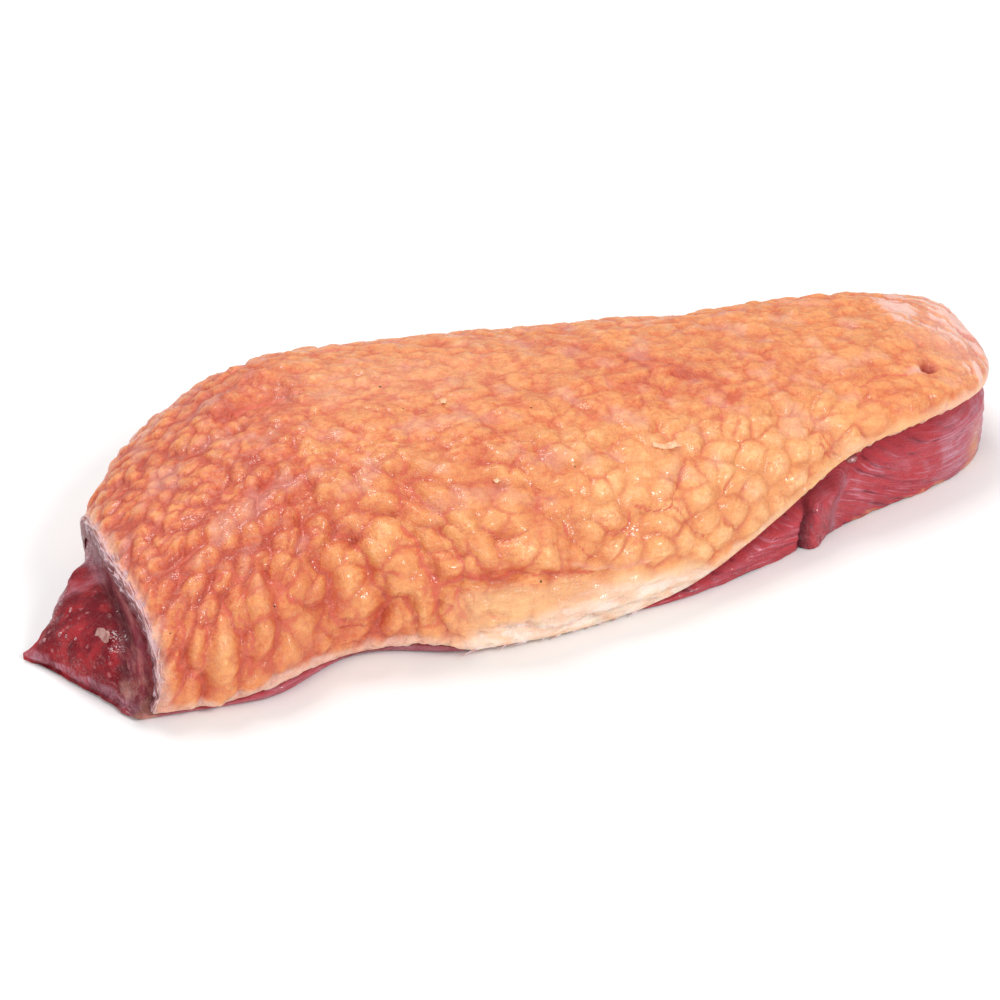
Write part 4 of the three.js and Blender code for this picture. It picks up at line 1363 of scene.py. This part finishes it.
@dataclass
class LeanMeat(Host):
    """The lean meat, one closed body: walls, covered top and flat base, drawn to a point at the bare end."""

    form: BreastForm
    finish: LeanFinish
    rows: int = 380
    wall: int = 48
    top: int = 56
    base: int = 8
    dip: Curve = Curve(((0, 0), (54, 6.5), (76, 17.5), (100, 18.5)))
    fold: Curve = Curve(((0, 48.4), (4, 48.6), (8, 49.3), (11, 51.8), (14, 55.0)))
    lie: dict[str, Array] = field(default_factory=dict)

    def tube(self) -> bmesh.types.BMesh:
        """Open upright tube of one unit, cut into the rows and columns of the meat."""
        bm = bmesh.new()
        columns = 2 * self.wall + self.top + self.base
        bmesh.ops.create_cone(bm, cap_ends=False, segments=columns, radius1=1, radius2=1, depth=1)
        upright = [edge for edge in bm.edges if abs(edge.verts[0].co.z - edge.verts[1].co.z) > 0.5]
        bmesh.ops.subdivide_edges(bm, edges=upright, cuts=self.rows - 1)
        return bm

    def places(self, tube: Array) -> None:
        """Works out where each vertex of the tube lies on the meat."""
        columns = 2 * self.wall + self.top + self.base
        turn = np.rint(np.arctan2(tube[:, 1], tube[:, 0]) / (2 * np.pi) * columns) % columns
        along = np.rint((tube[:, 2] + 0.5) * self.rows) / self.rows
        x = mix(self.form.tip[0], self.form.nose[0], along + 0.055 * np.sin(2 * np.pi * along) * (along - 1))
        x = np.where(along == 0, self.form.tip[0], np.where(along == 1, self.form.nose[0], x))
        walls = self.wall + self.top
        angle = np.where(
            turn <= self.wall,
            -np.pi / 2 * (1 - turn / self.wall),
            np.where(
                turn <= walls,
                self.form.angle_over(2 * (turn - self.wall) / self.top - 1),
                np.pi * (1 + (turn - walls) / self.wall / 2),
            ),
        )
        past = turn - walls - self.wall
        self.lie = {
            "along": along,
            "x": x,
            "angle": np.where(past > 0, 1.5 * np.pi, angle),
            "base": np.where(past > 0, 1 - past / self.base, 0.0),
        }

    def relief(self, smooth_points: Array) -> Array:
        """Height of the meat's relief at each vertex. Keeps the masks that the finish reads."""
        x, angle = self.lie["x"], self.lie["angle"]
        z, y = smooth_points[:, 2], smooth_points[:, 1]
        bare_near, bare_far, bare_end = self.form.bareness(x, angle)
        bare = np.minimum(1, bare_near + bare_far + bare_end)
        wall = smooth(-angle / 0.1) * bare_near
        end = smooth((self.form.cut_x - 1 - x) / 2.0)
        run = z + self.dip(x) + 1.2 * clouds(x, z, 15, 1)
        fibres = 0.22 * clouds(x / 9, run, 1.3, 2) + 0.08 * clouds(x / 5, run, 0.6, 3)
        past = x - self.fold(z)
        flap = 1.9 * smooth(past / 2.2 + 0.3) * smooth((9.5 - past) / 9) * smooth((12.5 - z) / 5)
        groove = 1.2 * np.exp(-((past / 0.6) ** 2)) * smooth((11.5 - z) / 3)
        crevice = 2.0 * hump(x, -86.0 - 0.5 * np.cos(angle * 2), 1.5) * smooth(np.sin(angle) * 3 + 0.4)
        crevice *= smooth((2.1 - angle) / 0.6)
        swells = 0.5 * clouds(x, y + z, 6, 5) + 0.2 * clouds(x, y + z, 2.2, 6)
        swells += 0.4 * clouds(x, (y + z) / 2, 1.1, 7) * smooth((x + 87.5) / 2)
        self.lie |= {
            "wall": wall * smooth((x - 5) / 15),
            "end": end,
            "past": past,
            "bare": bare,
            "groove": groove / 1.2 * wall,
            "flap": wall * smooth(past + 0.3) * smooth((8.5 - past) / 3) * smooth((13 - z) / 4),
            "crevice": (crevice / 2.0) ** 3 * end,
        }
        on_wall = wall * (fibres * smooth((x + 10) / 20) + flap - groove)
        return (on_wall + end * (0.7 * swells - crevice)) * bare

    def masks(self, points: Array) -> dict[str, Array]:
        """Masks for the finish."""
        x, y, z = points.T
        wall, end, past = self.lie["wall"], self.lie["end"], self.lie["past"]
        drift = clouds(x, y + z, 4, 9)
        rear = smooth((-8 - x) / 10) * self.lie["bare"] * (1 - end)
        silver = 0.9 * wall * smooth((x - 80 + 3 * drift) / 5)
        silver = np.maximum(silver, 0.8 * wall * np.exp(-(((past - 7.6) / 0.9) ** 2)))
        silver = np.maximum(silver, 0.3 * wall * smooth((drift + 0.1) / 0.9))
        silver = np.maximum(silver, 0.5 * rear)
        low_rim = smooth((3.6 - z + drift) / 1.2) * smooth((z - 0.5) / 0.8) * smooth((-80 - x) / 3)
        silver = np.maximum(silver, 0.8 * low_rim)
        far_end = smooth((-82 - x) / 2) * smooth((y + 13.5) / 2) * smooth(drift + 0.6)
        silver = np.maximum(silver, 0.7 * far_end)
        clots = 0.75 * window(x, -97, -86, 4) * smooth((drift + 0.35) / 0.5)
        seam = wall * smooth((1.1 + 0.6 * drift - z) / 0.7) * smooth((x - 58) / 5)
        fat = 0.5 * np.maximum(seam * smooth(drift + 0.6), wall * spot(x, z, (93, 4), (2, 4)))
        ledge = smooth((x + 86.4 + 0.4 * drift) / 0.8) * smooth((-80 - x) / 2)
        silver = np.maximum(silver, 0.75 * ledge * smooth((6.5 - z + 2 * drift) / 5))
        fat = np.maximum(fat, 0.3 * ledge * smooth((8 - z + 3 * drift) / 8) * smooth(drift + 0.8))
        silver = np.maximum(silver, 0.55 * ledge * smooth((y + 13 + drift) / 4))
        purple = np.maximum(0.6 * rear * window(x, -46, -24, 5), 0.8 * ledge)
        purple = np.maximum(purple, 0.12 * self.lie["flap"])
        # Painted shade: darker in the flap's groove and the bare end's crevice.
        dark = np.maximum(0.8 * self.lie["groove"], 0.6 * self.lie["crevice"])
        fibres = np.stack([x / 9, z + self.dip(x), y / 4], -1)
        facet = np.stack([x / 2.5, y / 1.6, z / 2.5], -1)
        hanging = np.stack([z / 7, x + 0.5 * z, y / 4], -1)
        fibres = mix(fibres, hanging, self.lie["flap"][:, None])
        self.lie["fibres"] = mix(fibres, facet, end[:, None])
        return {
            "wall": wall,
            "end": end,
            "silver": silver,
            "clots": clots,
            "fat": fat,
            "purple": purple,
            "dark": dark,
        }

    def drawn_back(self, x: Array, y: Array, z: Array) -> Array:
        """Shift that draws the bare end's top and far side back by the skin's rim, and its top down."""
        ledge = np.clip(-82.0 - x, 0.0, -82.0 - self.form.facet_x)
        far = smooth((y + 9) / 9)
        high = np.maximum(smooth((z - 9.5) / 5), far * smooth((z - 1) / 5))
        return np.stack([0.75 * ledge * np.maximum(high, far), 0 * ledge, -0.9 * ledge * high], -1)

    def build(self) -> bpy.types.Object:
        """Makes the piece."""
        bm = self.tube()
        self.places(spots_of(bm))
        x, angle, base, along = (self.lie[name] for name in ("x", "angle", "base", "along"))
        points = self.form.meat(x, angle, base)
        normal = self.form.normal(self.form.under_skin, x, angle)
        raised = self.relief(points) * smooth(along * (1 - along) * 60) * (base == 0)
        points += normal * raised[:, None]
        points[:, 2] = np.maximum(points[:, 2], 0.0)
        masks = self.masks(points)
        points += self.drawn_back(x, points[:, 1], points[:, 2])
        self.lie |= {"points": points, "normal": normal}
        move_to(bm, points)
        meat = body(bm, "lean", masks, {"fibres": self.lie["fibres"]}, self.finish)
        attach(meat, "root")
        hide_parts("lean_meat")
        return meat


# Loose scraps


@dataclass(frozen=True)
class ScrapFinish:
    """Finish of one kind of scrap: two tones in soft patches, and how wet it is."""

    name: str
    tones: tuple[str, str]
    patch_mm: float
    roughness: float
    coat: float

    def material(self) -> bpy.types.Material:
        """The material."""
        material, pad, shader = new_material(self.name)
        noise = pad.noise(pad.place(), self.patch_mm, 3.0)
        inputs = {
            "Base Color": pad.tint(srgb(self.tones[0]), srgb(self.tones[1]), pad.step(noise, 0.35, 0.65)),
            "Normal": pad.bump(noise, 0.6, 0.3),
            "Roughness": pad.step(noise, 0.3, 0.7, self.roughness, self.roughness + 0.12),
            "Coat Weight": self.coat,
            "Coat Roughness": 0.12,
            "Subsurface Weight": 0.2,
            "Subsurface Scale": 0.001,
        }
        pad.feed(shader, inputs)
        return material


class Shape(Enum):
    """What a scrap is."""

    FLAKE = "thin bent flake"
    BEAD = "flattened bead"
    THREAD = "tapering thread"


@dataclass(frozen=True)
class Scrap:
    """One scrap: what it is, where it lies, its length, width and thickness, and how it is turned in degrees.

    The place is along and across, or a pixel of the photo where its kind is placed by the photo's view.
    """

    shape: Shape
    at: tuple[float, ...]
    size: tuple[float, float, float]
    turn: float = 0.0


@dataclass
class Scraps:
    """One kind of scrap, all in one piece. Each lies on the point of its host nearest to its place."""

    name: str
    slot: str
    host: Skin | LeanMeat
    finish: ScrapFinish
    items: tuple[Scrap, ...]
    view: PhotoView | None = None
    seed: int = 5

    def seat(self, scrap: Scrap) -> tuple[Array, Array]:
        """Point that a scrap lies on, and the outward normal there."""
        return self.host.seat_seen(self.view, scrap.at) if self.view else self.host.seat(scrap.at)

    def shaped(self, scrap: Scrap, noise: np.random.Generator) -> bmesh.types.BMesh:
        """One scrap round the origin, flat on the XY plane, in millimetres."""
        length, width, thick = scrap.size
        bm = bmesh.new()
        if scrap.shape is Shape.FLAKE:
            bmesh.ops.create_grid(bm, x_segments=6, y_segments=3, size=0.5)
            for vert in bm.verts:
                frayed = 1 + 0.16 * noise.standard_normal() * (abs(vert.co.y) > 0.4 or abs(vert.co.x) > 0.4)
                x, y = vert.co.x * length, vert.co.y * width * frayed * (1 - 0.7 * abs(vert.co.x) ** 2)
                vert.co = (x, y, 0.07 * length + thick * (0.5 + 5 * vert.co.x**2 * noise.random()))
            bmesh.ops.solidify(bm, geom=bm.faces[:], thickness=0.6 * thick)
            bmesh.ops.subdivide_edges(bm, edges=bm.edges[:], cuts=1, smooth=0.6, use_grid_fill=True)
        elif scrap.shape is Shape.BEAD:
            bmesh.ops.create_icosphere(bm, subdivisions=3, radius=0.5)
            for vert in bm.verts:
                vert.co = vert.co * (1 + 0.05 * noise.standard_normal())
            bmesh.ops.smooth_vert(bm, verts=bm.verts, factor=0.6)
            bmesh.ops.scale(bm, verts=bm.verts, vec=(length, width, thick))
        else:
            ends = {"radius1": width / 2, "radius2": width / 8}
            bmesh.ops.create_cone(bm, cap_ends=True, segments=6, depth=length, **ends)
            upright = [edge for edge in bm.edges if abs(edge.verts[0].co.z - edge.verts[1].co.z) > length / 2]
            bmesh.ops.subdivide_edges(bm, edges=upright, cuts=7)
            sway = noise.uniform(-1, 1, 2)
            for vert in bm.verts:
                t = vert.co.z / length + 0.5
                bend = sway * 0.25 * length * t * t
                vert.co = (length * t, vert.co.x + bend[0], vert.co.y + abs(bend[1]) * 0.4)
        return bm

    def build(self) -> bpy.types.Object:
        """Makes the piece."""
        noise = np.random.default_rng(self.seed)
        whole = bmesh.new()
        mesh = bpy.data.meshes.new("scrap")
        for scrap in self.items:
            bm = self.shaped(scrap, noise)
            point, normal = self.seat(scrap)
            up = Vector(normal)
            level = (Vector((1.0, 0.0, 0.0)) - up * up.x).normalized()
            turn = math.radians(scrap.turn)
            along = level * math.cos(turn) + up.cross(level) * math.sin(turn)
            frame_of = Matrix((along, up.cross(along), up)).transposed().to_4x4()
            for vert in bm.verts:
                vert.co = (Vector(point) + frame_of @ vert.co + Vector(CENTRED)) * METRES
                vert.co.z = max(vert.co.z, 0.0002)
            face_outwards(bm)
            bm.to_mesh(mesh)
            bm.free()
            whole.from_mesh(mesh)
        bpy.data.meshes.remove(mesh)
        piece = finished(whole, self.name, self.finish.material())
        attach(piece, "root")
        return piece


# Flakes, specks and flecks lie at pixels of the photo
SKIN_FLAKES = (
    Scrap(Shape.FLAKE, (672, 445), (4.8, 1.4, 0.16), 8),
    Scrap(Shape.FLAKE, (660, 447), (2.4, 1.0, 0.16), -30),
    Scrap(Shape.FLAKE, (443, 402), (1.5, 1.1, 0.12), 70),
    Scrap(Shape.FLAKE, (498, 480), (1.5, 0.8, 0.12), 20),
)
PEPPER = tuple(
    Scrap(Shape.BEAD, pixel, (size, 0.8 * size, 0.6 * size), 9 * size)
    for pixel, size in (
        ((381, 387), 0.5), ((403, 408), 0.28), ((532, 408), 0.42), ((574, 467), 0.3),
        ((542, 581), 0.42), ((274, 605), 0.45), ((171, 634), 0.3),
    )
)
END_FLAKES = (Scrap(Shape.FLAKE, (104, 636), (3.8, 2.2, 0.3), 120),)
FAT_FLECKS = tuple(
    Scrap(Shape.BEAD, pixel, size, turn)
    for pixel, size, turn in (
        ((50, 620), (0.8, 0.6, 0.25), 30), ((72, 610), (1.2, 0.6, 0.35), 50),
        ((45, 640), (0.8, 0.8, 0.4), 0), ((60, 635), (1.0, 0.9, 0.45), 20),
        ((66, 637), (0.7, 0.7, 0.35), 80), ((75, 640), (0.7, 0.6, 0.3), 10),
        ((852, 458), (2.4, 1.8, 1.3), 20),
    )
)
# Fibres and threads lie at places along and across
RIM_FIBRES = tuple(
    Scrap(Shape.THREAD, (x, across), (0.6 * length, 0.26, 0.2), turn)
    for x, across, length, turn in (
        (-81.4, -33, 4.0, 82), (-81.2, -29, 3.0, 275), (-80.4, -27, 4.5, 84), (-80.5, -22, 3.5, 96),
        (-80.3, -18, 4.2, 80), (-80.6, -15, 3.0, 262), (-80.7, -11, 4.6, 86), (-81.4, -7, 3.2, 98),
        (-81.8, -3, 4.4, 84), (-82.2, 1, 3.6, 92), (-82.5, 5, 4.0, 78), (-82.3, 9, 3.0, 95),
    )
)
LIP_THREADS = tuple(
    Scrap(Shape.THREAD, (x, -62), (length, 0.34, 0.28), turn)
    for x, length, turn in (
        (-22, 3.0, 200), (-16, 2.0, 220), (-12, 3.4, 196), (-8.5, 1.8, 250), (-5, 2.6, 214),
        (-1.5, 3.6, 205), (1, 1.6, 240), (4, 2.4, 210), (7.5, 1.8, 225), (12, 2.2, 215),
    )
)


# Floor, light and camera


@dataclass
class Studio:
    """Plain pale floor, soft light and the camera at the photograph's angle."""

    view: PhotoView
    picture: float = 1000.0
    sensor_mm: float = 36.0

    def camera(self) -> None:
        """Makes the camera and gives it to the scene."""
        data = bpy.data.cameras.new("camera")
        data.lens, data.sensor_width = self.view.focal_pixels * self.sensor_mm / self.picture, self.sensor_mm
        data.clip_start, data.clip_end = 0.01, 20.0
        camera = bpy.data.objects.new("camera", data)
        turn = Vector(-self.view.back()).to_track_quat("-Z", "Y").to_matrix().to_4x4()
        camera.matrix_world = Matrix.Translation(Vector((self.view.eye() + CENTRED) * METRES)) @ turn
        bpy.context.scene.collection.objects.link(camera)
        bpy.context.scene.camera = camera

    def lamp(self, name: str, place: tuple[float, float, float], size: float, power: float) -> None:
        """Soft square lamp that looks at the object."""
        data = bpy.data.lights.new(name, "AREA")
        data.size, data.energy = size, power
        lamp = bpy.data.objects.new(name, data)
        turn = (-Vector(place)).to_track_quat("-Z", "Y").to_matrix().to_4x4()
        lamp.matrix_world = Matrix.Translation(Vector(place)) @ turn
        bpy.context.scene.collection.objects.link(lamp)

    def floor(self) -> None:
        """Large pale floor just under the object."""
        bm = bmesh.new()
        bmesh.ops.create_grid(bm, x_segments=1, y_segments=1, size=4.0)
        bmesh.ops.translate(bm, verts=bm.verts, vec=(0.0, 0.0, -0.0002))
        material, pad, shader = new_material("pale_floor")
        pad.feed(shader, {"Base Color": (0.92, 0.92, 0.92, 1.0), "Roughness": 0.8})
        finished(bm, "floor", material)

    def build(self) -> None:
        """Makes the whole studio."""
        self.camera()
        self.floor()
        self.lamp("key_light", (0.35, -0.8, 0.75), 0.35, 6.2)
        self.lamp("top_light", (-0.1, 0.5, 1.0), 0.5, 6.0)
        self.lamp("fill_light", (-0.8, -0.5, 0.55), 0.5, 2.4)
        world = bpy.data.worlds.new("world")
        world.use_nodes = True
        world.node_tree.nodes["Background"].inputs["Color"].default_value = (1.0, 1.0, 1.0, 1.0)
        world.node_tree.nodes["Background"].inputs["Strength"].default_value = 0.5
        bpy.context.scene.world = world
        bpy.context.scene.view_settings.view_transform = "Standard"


def main() -> None:
    """Builds the studio and every piece, in order."""
    logging.basicConfig(level=logging.INFO, format="%(message)s")
    view, form, effects = PhotoView(), BreastForm(), SharedEffects.built()
    Studio(view).build()
    skin = Skin(form, SkinChart(form, view), SkinFinish(effects))
    meat = LeanMeat(form, LeanFinish(effects))
    dry = ScrapFinish("dry_flake", ("F2C49C", "E9AC82"), 0.9, 0.55, 0.1)
    tallow = ScrapFinish("wet_fat", ("BC8886", "94505A"), 0.8, 0.3, 0.6)
    tissue = ScrapFinish("pale_tissue", ("E6D2D6", "C79A9C"), 1.0, 0.4, 0.3)
    beige = ScrapFinish("beige_film", ("BD9086", "9C5E58"), 1.5, 0.35, 0.4)
    pepper = ScrapFinish("pepper", ("3A2A22", "1E1512"), 0.3, 0.6, 0.0)
    builders = (
        skin,
        meat,
        Scraps("skin_flakes", "skin_and_fat", skin, dry, SKIN_FLAKES, view),
        Scraps("pepper_specks", "skin_and_fat", skin, pepper, PEPPER, view),
        Scraps("lip_threads", "skin_and_fat", skin, tissue, LIP_THREADS),
        Scraps("rim_fibres", "skin_and_fat", skin, tissue, RIM_FIBRES),
        Scraps("end_flake", "lean_meat", meat, beige, END_FLAKES, view),
        Scraps("fat_flecks", "lean_meat", meat, tallow, FAT_FLECKS, view),
    )
    for builder in builders:
        piece = builder.build()
        LOG.info("%s: %d faces", piece.name, len(piece.data.polygons))


if __name__ == "__main__":
    main()
